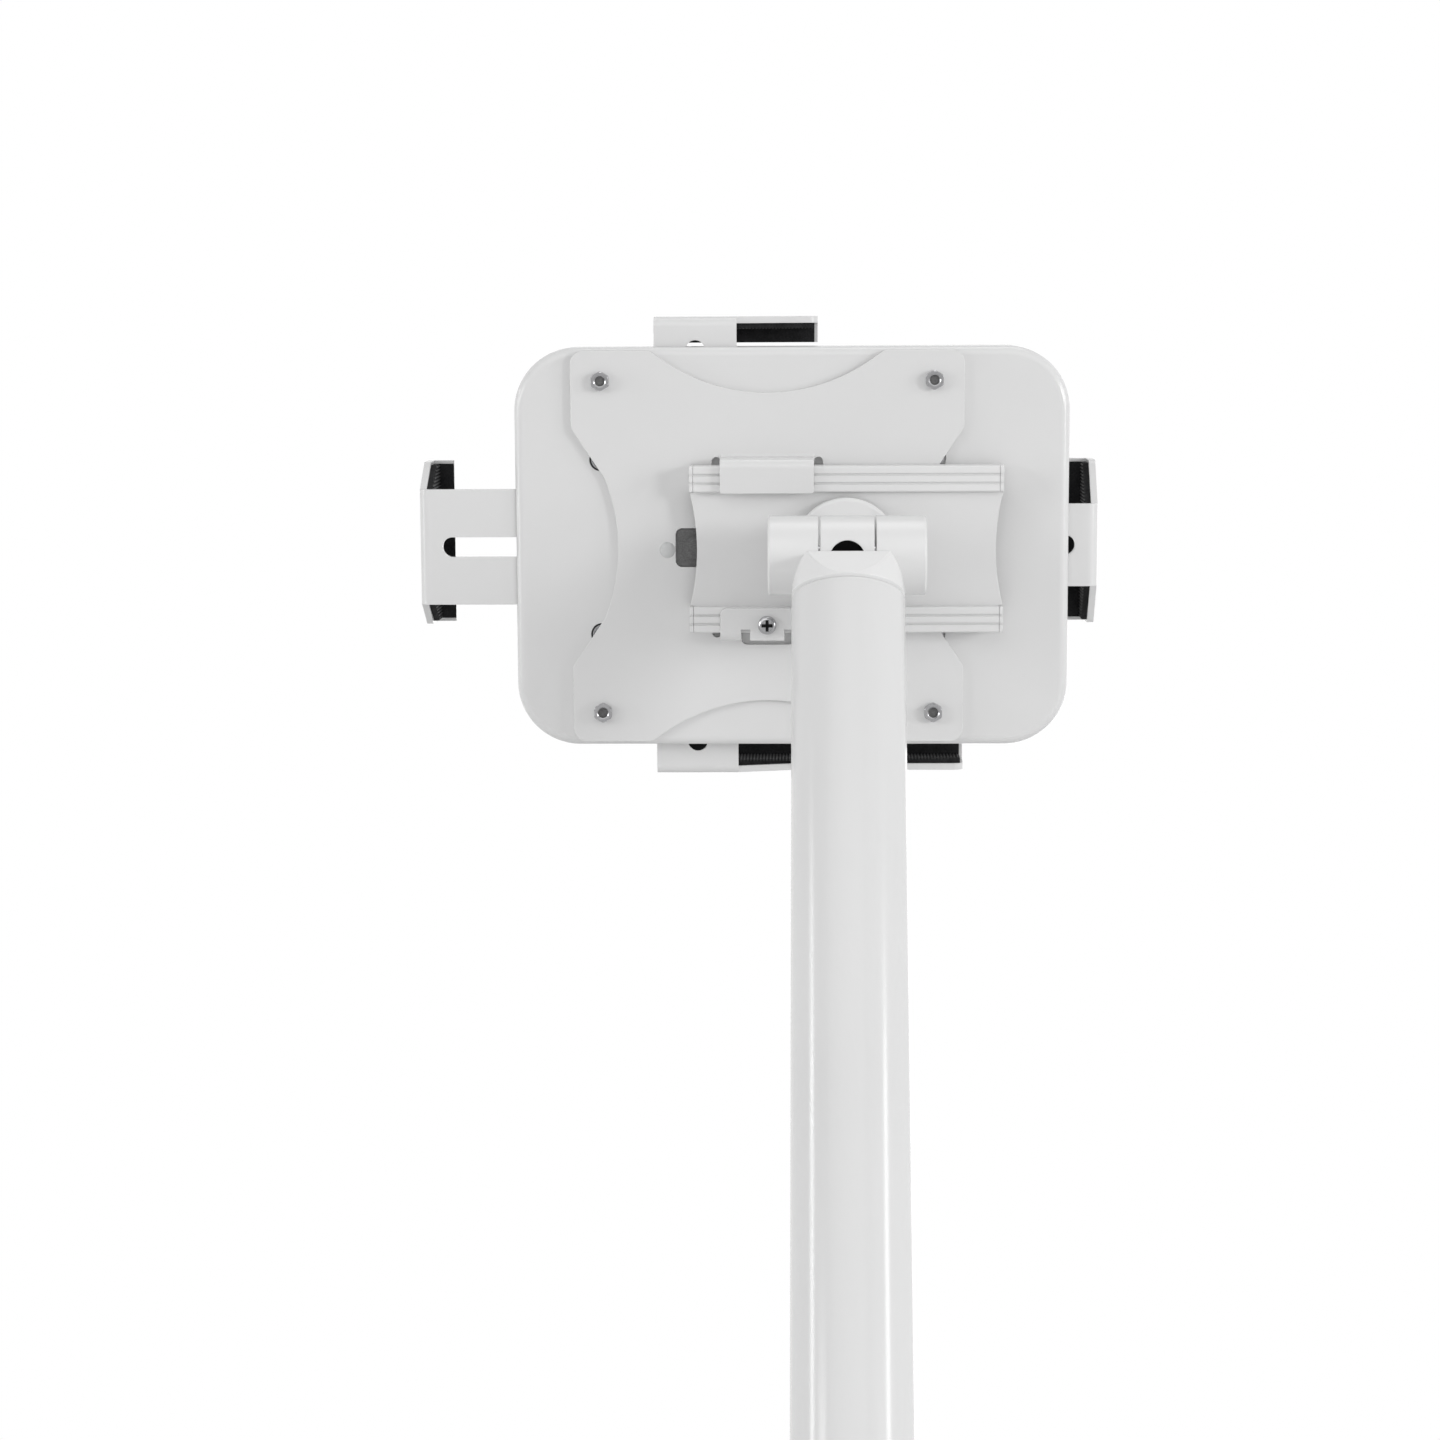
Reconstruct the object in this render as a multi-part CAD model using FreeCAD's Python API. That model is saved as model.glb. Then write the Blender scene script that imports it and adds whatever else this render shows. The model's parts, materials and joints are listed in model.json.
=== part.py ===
import FreeCAD, Part
import math
import os

from FreeCAD import Rotation, Vector

# Tablet floor stand: a round steel base, one straight pole, a tilting and turning
# hinge, a rail carriage, and a sliding four-arm tablet holder.
# Row frame: +Z up, the user stands at -Y, the hinge axis runs along X.
# Head frame: x as the row, y from the screen towards the back, z up the screen.
# All lengths are millimetres, all angles degrees.

# General clearances
RUN_GAP = 0.3            # between pieces that slide or turn past each other
FIT_GAP = 0.05           # radial clearance of a shaft in its bore
SEAT_GAP = 0.1           # radial clearance of a fixed screw in its hole

# Base
BASE_R = 190.0
BASE_T = 8.0
BASE_EDGE = 1.5           # chamfer round both rims
FOOT_R = 14.0
FOOT_T = 3.0
FOOT_COUNT = 6
FOOT_INSET = 24.0
FOOT_EDGE = 0.8
BASE_BOLT_R = 5.0
BASE_BOLT_HEAD_R = 8.5
BASE_BOLT_HEAD_T = 4.5
BASE_BOLT_GRIP = 18.0
BASE_BOLT_HEX = 6.0
BASE_BOLT_SINK = 0.5      # the head lies this far inside its counterbore
BASE_SOCKET_WALL = 1.5    # left under the hexagon socket

# Pole
POLE_R = 16.0
POLE_WALL = 1.5
HINGE_Z = 1060.0         # height of the tilt axis above the floor
HINGE_DROP = 24.0        # from the tilt axis down to the top rim of the tube
HINGE_LEAD = 22.0        # from the pole's axis forward to the tilt axis
PLUG_LEN = 24.0
SEAM_EDGE = 0.8          # rounding of the tube's rim and of the cap's foot

# Pole head, the casting on top of the tube
SPIGOT_LEN = 38.0
SPIGOT_WALL = 4.0
CAP_RISE = 9.9
CAP_FACET_RISE = 0.9     # the sloping back facet starts this far above the rim
CAP_TOP_HALF = 11.8      # half the cap's width at its top, between the two shoulders
CAP_SHOULDER_X = 14.6    # the round shoulder passes through this half width
CAP_SHOULDER_RISE = 5.8  # at this height above the rim
CHEEK_FORE = 10.0        # cheek's reach in front of the tilt axis
CHEEK_DROP = 6.0         # and its lower corner below that axis
CHEEK_CROWN = 8.0        # its crown above the axis
CHEEK_HEEL = 4.0         # its heel behind the pole's axis
CHEEK_FOOT = 10.0        # its foot in front of the pole's axis
CHEEK_CORNER_R = 3.0
CHEEK_HOLLOW_R = 6.0     # hollow between the ears and the tube's rim
CHEEK_HOLLOW_RISE = 2.0

# Tilt hinge
BARREL_R = 11.6
BARREL_LEN = 46.0
KNUCKLE_W = 15.6
EAR_GAP = 0.6
EAR_BEVEL = 0.5
TILT_BOLT_R = 3.0
TILT_HEAD_R = 5.2
TILT_HEAD_T = 3.3
TILT_HEAD_HEX = 4.0
TILT_HEAD_EDGE = 1.2
TILT_SOCKET_WALL = 1.0
TILT_NUT_AF = 10.0
TILT_NUT_T = 5.0
RECESS_DEPTH = 5.6
REST_TILT = 30.0         # the screen leans back this far from upright

# Knuckle and turning joint
DISC_R = 15.6
NECK_LEN = 5.9           # from the disc to the barrel
NECK_INSET = 1.5         # the neck is this much lower than the barrel
DISC_T = 4.0
DISC_EDGE_R = 1.2
BOSS_R = 5.0
TURN_WASHER_R = 13.5
TURN_WASHER_T = 0.7
TURN_BOLT_R = 3.0
TURN_HEAD_R = 7.5
TURN_HEAD_T = 2.4
TURN_BOLT_GRIP = 9.0
TURN_BOLT_HEX = 4.0
TURN_SOCKET_WALL = 0.4   # left under the socket
BOLT_EDGE = 0.6          # chamfer of the hidden bolt heads
TENSION_R = 5.15         # black tension screw in the knuckle's back
TENSION_SINK = 1.0       # it ends this far inside the barrel
TENSION_HEX = 5.0
TENSION_SOCKET_WALL = 2.5

# Rail carriage
RAIL_LEN = 93.6
RAIL_H = 7.8
RAIL_PITCH = 42.0        # between the centre lines of the two rails
RAIL_T = 8.3
RAIL_GROOVE_W = 0.7
RAIL_GROOVE_DEPTH = 0.6
RAIL_GROOVES = 2
RAIL_LIP = 1.5           # rail left beyond the web's edge
END_CAP_T = 1.1
END_CAP_GAP = 0.1
RAIL_EDGE_R = 0.6
WEB_T = 2.0
WEB_LIFT = 3.9           # from the rail's front face to the web
WEB_WAIST = 2.2          # how far each end of the web curves in
WEB_CORNER_R = 0.8

# Holder, measured from the centre of its bolt pattern
HOLDER_SHIFT = 23.6      # the holder's centre stands this far to +x of the hinge
VESA_PITCH = 100.0
PLATE_EDGE = 9.0         # from the bolt pattern out to the plate's edge
PLATE_T = 2.0
PLATE_CORNER_R = 4.0
SIDE_NOTCH_HALF = 36.0   # where the plate's side starts to slope in
SIDE_WAIST_HALF = 21.0   # where the slope meets the waist's arc
SIDE_SLOPE = 10.0
SIDE_WAIST = 14.0
TOP_ARC_HALF = 35.0
TOP_ARC_DEPTH = 12.6
STUD_R = 1.5
STUD_FLANGE_R = 2.7
STUD_FLANGE_T = 1.0
NUT_AF = 5.3
NUT_T = 2.4
NUT_TURN = 1.1           # corners turned down to this many inscribed radii
STUD_SHORT = 0.9         # the stud ends this far below the nut's face

# Hook tabs lanced out of the plate
TAB_W = 28.0
TAB_REACH = 10.3         # length of the folded leaf
TAB_LOW_REACH = 9.9
TAB_BEND_R = 3.0
TAB_ROOT = 3.0           # flat root that joins a tab to the plate
TAB_INNER_R = 1.0
TAB_CORNER_R = 0.8
TAB_LOW_CORNER_R = 2.0
RELIEF_W = 2.7
TAB_SWEEP = 22.0         # length of plate that the tab was cut from
TONGUE_W = 10.2
TONGUE_GAP = 2.7
TONGUE_SLOT_RISE = 3.5   # height of the two slots beside the tongue
TONGUE_LIFT = 0.2        # the tongue ends this far above the bend
TONGUE_SLIT = 2.2        # open slit in the plate below the tongue
TONGUE_SLIT_R = 1.4
LOCK_SCREW_R = 1.5
LOCK_HEAD_R = 2.75
LOCK_HEAD_T = 2.2
LOCK_CROWN_R = 1.2
LOCK_FROM_BEND = 4.9
CROSS_W = 0.9
CROSS_LEN = 3.4
CROSS_DEPTH = 1.2

# Holder shell
SHELL_LEFT = 17.3        # the shell stands this far out past the plate on each side
SHELL_RIGHT = 31.7
SHELL_TOP = 1.0
SHELL_BOTTOM = 1.4
SHELL_DEPTH = 14.5
SHELL_WALL = 1.5
SHELL_CORNER_R = 19.0
SHELL_EDGE_R = 2.8
COVER_T = 1.5
COVER_SCREW_IN = 8.8     # from the plate's edge in to the screws
COVER_SCREW_Z = 26.4
COVER_SCREW_R = 2.0
COVER_HEAD_R = 2.85
COVER_HEAD_T = 0.75
COVER_BORE_R = 3.4       # counterbore round the screw's head
COVER_BORE_DEPTH = 0.9
COVER_HEX = 3.0
COVER_HEX_DEPTH = 0.6
SPACER_R = 3.6
FOAM_T = 2.0
FOAM_W = 12.0
FOAM_FROM_TOP = 14.2     # from the cover's edges to the foam strips
FOAM_FROM_SIDE = 35.5
FOAM_CORNER_R = 2.0

# Clamp that all four arms share
CLAMP_X = 21.8           # from the bolt pattern's centre
CLAMP_Z = 0.0
CLAMP_BOLT_R = 2.5
CLAMP_HEAD_R = 6.0
CLAMP_HEAD_T = 2.2
CLAMP_NUT_T = 2.7
CLAMP_NUT_BASE = 1.2     # the square part that the window keeps from turning
CLAMP_COLLAR_R = 3.4
CLAMP_WASHER_R = 5.0
CLAMP_WASHER_T = 0.5
WINDOW = 11.7
WINDOW_R = 2.0
BUMPER_R = 2.4
BUMPER_T = 1.2
BUMPER_GAP = 0.1         # from the window's edge to the bumper
BUMPER_DROP = 0.7        # bumper's centre below the clamp bolt

# Arms
ARM_T = 2.0
ARM_STEP = 2.4           # from one arm's layer to the next
ARM_PLAY = 0.4           # from the shell's back to the first arm
ARM_SLOT_W = 6.0
ARM_SLOT_END = 7.0       # from an arm's outer face to the end of its slot
ARM_BEND_R = 3.0
ARM_INNER_R = 1.0
ARM_TAIL = 9.0           # strap beyond the slot's inner end
ARM_PAD_T = 1.5
ARM_LIP = 6.0
LIP_T = 2.0
LIP_TIP_R = 0.8
TABLET_T = 8.0
EAR_TIP_Y = 1.0          # back corner of an arm's ear
EAR_ROOT = 1.2           # the ear's slope starts this far in front of the strap
EAR_R = 3.0
LONG_EAR_RUN = 17.0      # a long ear drops to its low back edge over this length
PAD_INSET = 1.0
PAD_LIP_T = 0.3
PAD_FROM_BEND = 0.5

# How far each arm's outer face stands out of the shell, and arm widths
LEFT_OUT = 29.3
RIGHT_OUT = 9.1
TOP_OUT = 8.9
BOTTOM_OUT = 10.3
LEFT_STRAP_W = 35.0
SMALL_STRAP_W = 25.0
SIDE_HEAD_HALF = 25.0
TOP_HEAD_LONG = 37.0     # from the strap's centre to the long end of the head
BOTTOM_HEAD_LONG = 82.0
# How far each slot runs inwards past the clamp bolt
LEFT_SLOT_OVER = 28.0
RIGHT_SLOT_OVER = 24.0
SHORT_SLOT_OVER = 20.0

# Derived places in the head frame
PLATE_Y0 = FOAM_T + COVER_T + SHELL_DEPTH
PLATE_Y1 = PLATE_Y0 + PLATE_T
RAIL_Y0 = PLATE_Y1 + RUN_GAP
RAIL_Y1 = RAIL_Y0 + RAIL_T
WEB_Y0 = RAIL_Y0 + WEB_LIFT
WEB_Y1 = WEB_Y0 + WEB_T
LEAF_Y0 = RAIL_Y1 + RUN_GAP
LEAF_Y1 = LEAF_Y0 + PLATE_T
DISC_Y0 = WEB_Y1 + RUN_GAP + TURN_WASHER_T
DISC_Y1 = DISC_Y0 + DISC_T
HINGE_Y = DISC_Y1 + BARREL_R + NECK_LEN
RAIL_MID = RAIL_PITCH / 2
RAIL_IN = RAIL_MID - RAIL_H / 2
RAIL_OUT = RAIL_MID + RAIL_H / 2
RAIL_END = RAIL_LEN / 2
RAIL_BAR_END = RAIL_END - END_CAP_T - END_CAP_GAP
TAB_Z0 = RAIL_OUT + RUN_GAP
TAB_Z1 = TAB_Z0 + PLATE_T
PLATE_HALF = VESA_PITCH / 2 + PLATE_EDGE
SHELL_W = 2 * PLATE_HALF + SHELL_LEFT + SHELL_RIGHT
SHELL_H = 2 * PLATE_HALF + SHELL_TOP + SHELL_BOTTOM
SHELL_Y0 = FOAM_T + COVER_T
SHELL_X = HOLDER_SHIFT + (SHELL_LEFT - SHELL_RIGHT) / 2
SHELL_Z = (SHELL_TOP - SHELL_BOTTOM) / 2
COVER_SCREW_X = PLATE_HALF - COVER_SCREW_IN
FOAM_LEN = SHELL_H - 2 * FOAM_FROM_TOP
FOAM_SPREAD = SHELL_W - 2 * FOAM_FROM_SIDE
LEFT_REACH = PLATE_HALF + SHELL_LEFT + LEFT_OUT
RIGHT_REACH = PLATE_HALF + SHELL_RIGHT + RIGHT_OUT
TOP_REACH = PLATE_HALF + SHELL_TOP + TOP_OUT
BOTTOM_REACH = PLATE_HALF + SHELL_BOTTOM + BOTTOM_OUT
LEFT_Y = PLATE_Y0 - SHELL_WALL - ARM_PLAY - ARM_T
RIGHT_Y = LEFT_Y - ARM_STEP
TOP_Y = RIGHT_Y - ARM_STEP
BOTTOM_Y = TOP_Y - ARM_STEP
LIP_Y0 = -TABLET_T - RUN_GAP - LIP_T
CLAMP_POINT_X = HOLDER_SHIFT + CLAMP_X

# Derived places in the row frame
BASE_Z0 = FOOT_T
BASE_Z1 = BASE_Z0 + BASE_T
POLE_Z1 = HINGE_Z - HINGE_DROP
POLE_BORE_R = POLE_R - POLE_WALL
EAR_X0 = KNUCKLE_W / 2 + EAR_GAP
EAR_X1 = BARREL_LEN / 2


def vec(x, y, z):
    return Vector(x, y, z)


def box(x0, x1, y0, y1, z0, z1):
    """Block between two opposite corners."""
    return Part.makeBox(x1 - x0, y1 - y0, z1 - z0, vec(x0, y0, z0))


def rod(radius, start, end):
    """Cylinder from one point to another."""
    return Part.makeCylinder(radius, (end - start).Length, start, end - start)


def rod_x(radius, x0, x1, y, z):
    return rod(radius, vec(x0, y, z), vec(x1, y, z))


def rod_y(radius, y0, y1, x, z):
    return rod(radius, vec(x, y0, z), vec(x, y1, z))


def rod_z(radius, z0, z1, x=0.0, y=0.0):
    return rod(radius, vec(x, y, z0), vec(x, y, z1))


def hexagon(across_flats, start, end):
    """Hexagonal prism from one point to another."""
    radius = across_flats / math.sqrt(3)
    turn = Rotation(vec(0, 0, 1), end - start)
    corners = []
    for i in range(7):
        angle = math.radians(60 * i)
        corners.append(start + turn.multVec(vec(radius * math.cos(angle), radius * math.sin(angle), 0)))
    return Part.Face(Part.makePolygon(corners)).extrude(end - start)


def rounded_wire(corners, to_space):
    """Closed outline through corners (a, b, radius); to_space places (a, b) in space."""
    count = len(corners)
    edges = []
    ends = []
    for i in range(count):
        a, b, radius = corners[i]
        here = vec(a, b, 0)
        before = vec(*corners[i - 1][:2], 0) - here
        after = vec(*corners[(i + 1) % count][:2], 0) - here
        before.normalize()
        after.normalize()
        if radius:
            half = before.getAngle(after) / 2
            run = radius / math.tan(half)
            middle = before + after
            middle.normalize()
            centre = here + middle * (radius / math.sin(half))
            ends.append((here + before * run, centre - middle * radius, here + after * run))
        else:
            ends.append((here, None, here))
    for i in range(count):
        first, crown, last = ends[i]
        if crown:
            arc = [to_space(p.x, p.y) for p in (first, crown, last)]
            edges.append(Part.Arc(*arc).toShape())
        following = ends[(i + 1) % count][0]
        if (following - last).Length > 1e-6:
            line = [to_space(p.x, p.y) for p in (last, following)]
            edges.append(Part.LineSegment(*line).toShape())
    return Part.Wire(Part.__sortEdges__(edges))


def plate_xz(corners, y0, y1):
    """Plate whose outline is drawn in x and z."""
    wire = rounded_wire(corners, lambda a, b: vec(a, y0, b))
    return Part.Face(wire).extrude(vec(0, y1 - y0, 0))


def plate_yz(corners, x0, x1):
    """Plate whose outline is drawn in y and z."""
    wire = rounded_wire(corners, lambda a, b: vec(x0, a, b))
    return Part.Face(wire).extrude(vec(x1 - x0, 0, 0))


def rounded_rect(cx, cz, width, height, radius):
    """Corners of a rounded rectangle for plate_xz."""
    hw = width / 2
    hh = height / 2
    signs = [(-1, -1), (1, -1), (1, 1), (-1, 1)]
    return [(cx + sx * hw, cz + sz * hh, radius) for sx, sz in signs]


def edges_where(shape, test):
    """Edges whose middle point and direction pass a test."""
    found = []
    for edge in shape.Edges:
        mid = edge.valueAt((edge.FirstParameter + edge.LastParameter) / 2)
        span = edge.valueAt(edge.LastParameter) - edge.valueAt(edge.FirstParameter)
        if test(mid, span):
            found.append(edge)
    return found


def along(span, axis):
    """True where an edge runs along one of the axes x, y or z."""
    parts = [abs(span.x), abs(span.y), abs(span.z)]
    wanted = "xyz".index(axis)
    others = sum(parts) - parts[wanted]
    return parts[wanted] > 1e-6 and others < 1e-6


def group(solids):
    """One shape of separate solids."""
    return Part.makeCompound(solids)


# Stand: base, pole and pole head, in the row frame

def make_base_plate():
    disc = rod_z(BASE_R, BASE_Z0, BASE_Z1)
    rims = edges_where(disc, lambda mid, span: abs(math.hypot(mid.x, mid.y) - BASE_R) < 0.01
                       and not along(span, "z"))
    disc = disc.makeChamfer(BASE_EDGE, rims)
    disc = disc.cut(rod_z(BASE_BOLT_R + SEAT_GAP, BASE_Z0 - 1, BASE_Z1 + 1))
    return disc.cut(rod_z(BASE_BOLT_HEAD_R + RUN_GAP, BASE_Z0 - 1, BASE_Z0 + BASE_BOLT_HEAD_T + BASE_BOLT_SINK))


def make_foot_pads():
    pads = []
    reach = BASE_R - FOOT_INSET
    for i in range(FOOT_COUNT):
        angle = 2 * math.pi * i / FOOT_COUNT
        pad = rod_z(FOOT_R, 0, BASE_Z0, reach * math.cos(angle), reach * math.sin(angle))
        low = edges_where(pad, lambda mid, span: abs(mid.z) < 0.01)
        pads.append(pad.makeChamfer(FOOT_EDGE, low))
    return group(pads)


def make_base_bolt():
    seat = BASE_Z0 + BASE_BOLT_HEAD_T + BASE_BOLT_SINK
    head = rod_z(BASE_BOLT_HEAD_R, seat - BASE_BOLT_HEAD_T, seat)
    socket = hexagon(BASE_BOLT_HEX, vec(0, 0, seat - BASE_BOLT_HEAD_T - 1), vec(0, 0, seat - BASE_SOCKET_WALL))
    shank = rod_z(BASE_BOLT_R, seat, BASE_Z1 + BASE_BOLT_GRIP)
    return head.cut(socket).fuse(shank).removeSplitter()


def make_pole_plug():
    plug = rod_z(POLE_BORE_R, BASE_Z1, BASE_Z1 + PLUG_LEN)
    return plug.cut(rod_z(BASE_BOLT_R, BASE_Z1 - 1, BASE_Z1 + PLUG_LEN + 1))


def make_pole_tube():
    tube = rod_z(POLE_R, BASE_Z1, POLE_Z1)
    rim = edges_where(tube, lambda mid, span: abs(mid.z - POLE_Z1) < 0.01)
    tube = tube.makeFillet(SEAM_EDGE, rim)
    return tube.cut(rod_z(POLE_BORE_R, BASE_Z1 - 1, POLE_Z1 + 1))


def cap_shoulders():
    """Block that leaves the cap two round shoulders, drawn in x and z."""
    low = POLE_Z1
    top = POLE_Z1 + CAP_RISE
    edges = []
    for side in (-1, 1):
        foot = vec(side * POLE_R, -POLE_R, low)
        mid = vec(side * CAP_SHOULDER_X, -POLE_R, low + CAP_SHOULDER_RISE)
        crown = vec(side * CAP_TOP_HALF, -POLE_R, top)
        edges.append(Part.Arc(foot, mid, crown).toShape())
    for z, half in ((low, POLE_R), (top, CAP_TOP_HALF)):
        edges.append(Part.LineSegment(vec(-half, -POLE_R, z), vec(half, -POLE_R, z)).toShape())
    outline = Part.Wire(Part.__sortEdges__(edges))
    return Part.Face(outline).extrude(vec(0, 2 * POLE_R, 0))


def make_cap():
    """Round foot, sloping back facet and two shoulders."""
    cap_z = POLE_Z1 + CAP_RISE
    facet_y = math.sqrt(POLE_R ** 2 - CAP_TOP_HALF ** 2)
    cap = rod_z(POLE_R, POLE_Z1, cap_z)
    foot = edges_where(cap, lambda mid, span: abs(mid.z - POLE_Z1) < 0.01)
    cap = cap.makeChamfer(SEAM_EDGE, foot).common(cap_shoulders())
    facet = plate_yz([(POLE_R, POLE_Z1 + CAP_FACET_RISE, 0), (2 * POLE_R, POLE_Z1 + CAP_FACET_RISE, 0),
                      (2 * POLE_R, cap_z + 1, 0), (facet_y, cap_z + 1, 0), (facet_y, cap_z, 0)],
                     -POLE_R, POLE_R)
    return cap.cut(facet)


def make_pole_head():
    """Spigot, faceted cap, two cheeks and two hinge ears, cast in one piece."""
    cap_z = POLE_Z1 + CAP_RISE
    bore = POLE_BORE_R - SPIGOT_WALL
    spigot = rod_z(POLE_BORE_R - SEAT_GAP, POLE_Z1 - SPIGOT_LEN, POLE_Z1)
    spigot = spigot.cut(rod_z(bore, POLE_Z1 - SPIGOT_LEN - 1, POLE_Z1 - SPIGOT_WALL))
    body = make_cap().fuse(spigot)
    hinge_y = -HINGE_LEAD
    for side in (-1, 1):
        inner = side * EAR_X0
        outer = side * EAR_X1
        cheek = plate_yz([(hinge_y - CHEEK_FORE, HINGE_Z - CHEEK_DROP, CHEEK_CORNER_R),
                          (hinge_y - CHEEK_HOLLOW_RISE, POLE_Z1 + CHEEK_HOLLOW_RISE, CHEEK_HOLLOW_R),
                          (-CHEEK_FOOT, POLE_Z1 + SEAM_EDGE, 0), (CHEEK_HEEL, POLE_Z1 + SEAM_EDGE, 0),
                          (CHEEK_HEEL, cap_z, 0),
                          (hinge_y + CHEEK_FORE, HINGE_Z - CHEEK_HEEL, CHEEK_CORNER_R),
                          (hinge_y, HINGE_Z + CHEEK_CROWN, CHEEK_CORNER_R)],
                         min(inner, side * CAP_TOP_HALF), max(inner, side * CAP_TOP_HALF))
        ear = rod_x(BARREL_R, min(inner, outer), max(inner, outer), hinge_y, HINGE_Z)
        rim = edges_where(ear, lambda mid, span: abs(mid.x - outer) < 0.01)
        ear = ear.makeChamfer(EAR_BEVEL, rim)
        body = body.fuse(cheek).fuse(ear)
    body = body.cut(rod_x(TILT_BOLT_R + SEAT_GAP, -EAR_X1 - 1, EAR_X1 + 1, hinge_y, HINGE_Z))
    body = body.cut(rod_x(TILT_HEAD_R + RUN_GAP, EAR_X1 - RECESS_DEPTH, EAR_X1 + 1, hinge_y, HINGE_Z))
    pocket = hexagon(TILT_NUT_AF + 2 * SEAT_GAP, vec(-EAR_X1 - 1, hinge_y, HINGE_Z),
                     vec(-EAR_X1 + RECESS_DEPTH, hinge_y, HINGE_Z))
    return body.cut(pocket).removeSplitter()


def make_tilt_bolt():
    y = -HINGE_LEAD
    seat = EAR_X1 - RECESS_DEPTH
    head = rod_x(TILT_HEAD_R, seat, seat + TILT_HEAD_T, y, HINGE_Z)
    crown = edges_where(head, lambda mid, span: abs(mid.x - seat - TILT_HEAD_T) < 0.01)
    head = head.makeChamfer(TILT_HEAD_EDGE, crown)
    socket = hexagon(TILT_HEAD_HEX, vec(seat + TILT_SOCKET_WALL, y, HINGE_Z), vec(seat + TILT_HEAD_T + 1, y, HINGE_Z))
    shank = rod_x(TILT_BOLT_R, -seat - TILT_NUT_T, seat, y, HINGE_Z)
    return head.cut(socket).fuse(shank).removeSplitter()


def make_tilt_nut():
    y = -HINGE_LEAD
    seat = -EAR_X1 + RECESS_DEPTH
    nut = hexagon(TILT_NUT_AF, vec(seat - TILT_NUT_T, y, HINGE_Z), vec(seat, y, HINGE_Z))
    return nut.cut(rod_x(TILT_BOLT_R, seat - TILT_NUT_T - 1, seat + 1, y, HINGE_Z))


# Head: tilting knuckle with its turning boss, in the head frame

def make_tilt_knuckle():
    half = KNUCKLE_W / 2
    barrel = rod_x(BARREL_R, -half, half, HINGE_Y, 0)
    neck = box(-half, half, DISC_Y1 - 1, HINGE_Y, NECK_INSET - BARREL_R, BARREL_R - NECK_INSET)
    disc = rod_y(DISC_R, DISC_Y0, DISC_Y1, 0, 0)
    rim = edges_where(disc, lambda mid, span: abs(mid.y - DISC_Y1) < 0.01)
    disc = disc.makeFillet(DISC_EDGE_R, rim)
    boss = rod_y(BOSS_R, WEB_Y0 - RUN_GAP, DISC_Y0, 0, 0)
    body = disc.fuse(neck).fuse(barrel).fuse(boss)
    body = body.cut(rod_x(TILT_BOLT_R + FIT_GAP, -half - 1, half + 1, HINGE_Y, 0))
    body = body.cut(rod_y(TENSION_R, HINGE_Y, HINGE_Y + BARREL_R + 1, 0, 0))
    start = WEB_Y0 - RUN_GAP
    return body.cut(rod_y(TURN_BOLT_R, start - 1, start + TURN_BOLT_GRIP + 1, 0, 0)).removeSplitter()


def make_tension_screw():
    y0 = HINGE_Y + TILT_BOLT_R + RUN_GAP
    y1 = HINGE_Y + BARREL_R - TENSION_SINK
    screw = rod_y(TENSION_R, y0, y1, 0, 0)
    return screw.cut(hexagon(TENSION_HEX, vec(0, y0 + TENSION_SOCKET_WALL, 0), vec(0, y1 + 1, 0)))


def make_turn_bolt():
    seat = WEB_Y0 - RUN_GAP
    head = rod_y(TURN_HEAD_R, seat - TURN_HEAD_T, seat, 0, 0)
    rim = edges_where(head, lambda mid, span: abs(mid.y - seat + TURN_HEAD_T) < 0.01)
    head = head.makeChamfer(BOLT_EDGE, rim)
    socket = hexagon(TURN_BOLT_HEX, vec(0, seat - TURN_HEAD_T - 1, 0), vec(0, seat - TURN_SOCKET_WALL, 0))
    shank = rod_y(TURN_BOLT_R, seat, seat + TURN_BOLT_GRIP, 0, 0)
    return head.cut(socket).fuse(shank).removeSplitter()


def make_turn_washer():
    ring = rod_y(TURN_WASHER_R, DISC_Y0 - TURN_WASHER_T, DISC_Y0, 0, 0)
    return ring.cut(rod_y(BOSS_R + FIT_GAP, DISC_Y0 - 2, DISC_Y0 + 1, 0, 0))


# Carriage: web plate and two ribbed rails, in the head frame

def make_carrier_web():
    """Flat plate with two hollowed ends; its long edges sit in the rails' channels."""
    edge = RAIL_OUT - RAIL_LIP
    wide = RAIL_IN - END_CAP_GAP
    web = box(-RAIL_BAR_END, RAIL_BAR_END, WEB_Y0, WEB_Y1, -edge, edge)
    web = web.fuse(plate_xz(rounded_rect(0, 0, RAIL_LEN, 2 * wide, WEB_CORNER_R), WEB_Y0, WEB_Y1))
    bow = (wide ** 2 + WEB_WAIST ** 2) / (2 * WEB_WAIST)
    for side in (-1, 1):
        centre = side * (RAIL_END - WEB_WAIST + bow)
        web = web.cut(rod_y(bow, WEB_Y0 - 1, WEB_Y1 + 1, centre, 0))
    return web.cut(rod_y(BOSS_R + FIT_GAP, WEB_Y0 - 1, WEB_Y1 + 1, 0, 0)).removeSplitter()


def rail_section(x0, x1, side):
    """Ribbed channel that grips one edge of the web."""
    groove_pitch = RAIL_H / (RAIL_GROOVES + 1)
    bar = box(x0, x1, RAIL_Y0, RAIL_Y1, RAIL_IN, RAIL_OUT)
    rims = edges_where(bar, lambda mid, span: along(span, "x") and mid.y > RAIL_Y1 - 0.01)
    bar = bar.makeFillet(RAIL_EDGE_R, rims)
    for i in range(RAIL_GROOVES):
        z = RAIL_IN + groove_pitch * (i + 1)
        bar = bar.cut(box(x0 - 1, x1 + 1, RAIL_Y1 - RAIL_GROOVE_DEPTH, RAIL_Y1 + 1,
                          z - RAIL_GROOVE_W / 2, z + RAIL_GROOVE_W / 2))
    if side < 0:
        bar = bar.mirror(vec(0, 0, 0), vec(0, 0, 1))
    return bar


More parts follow.
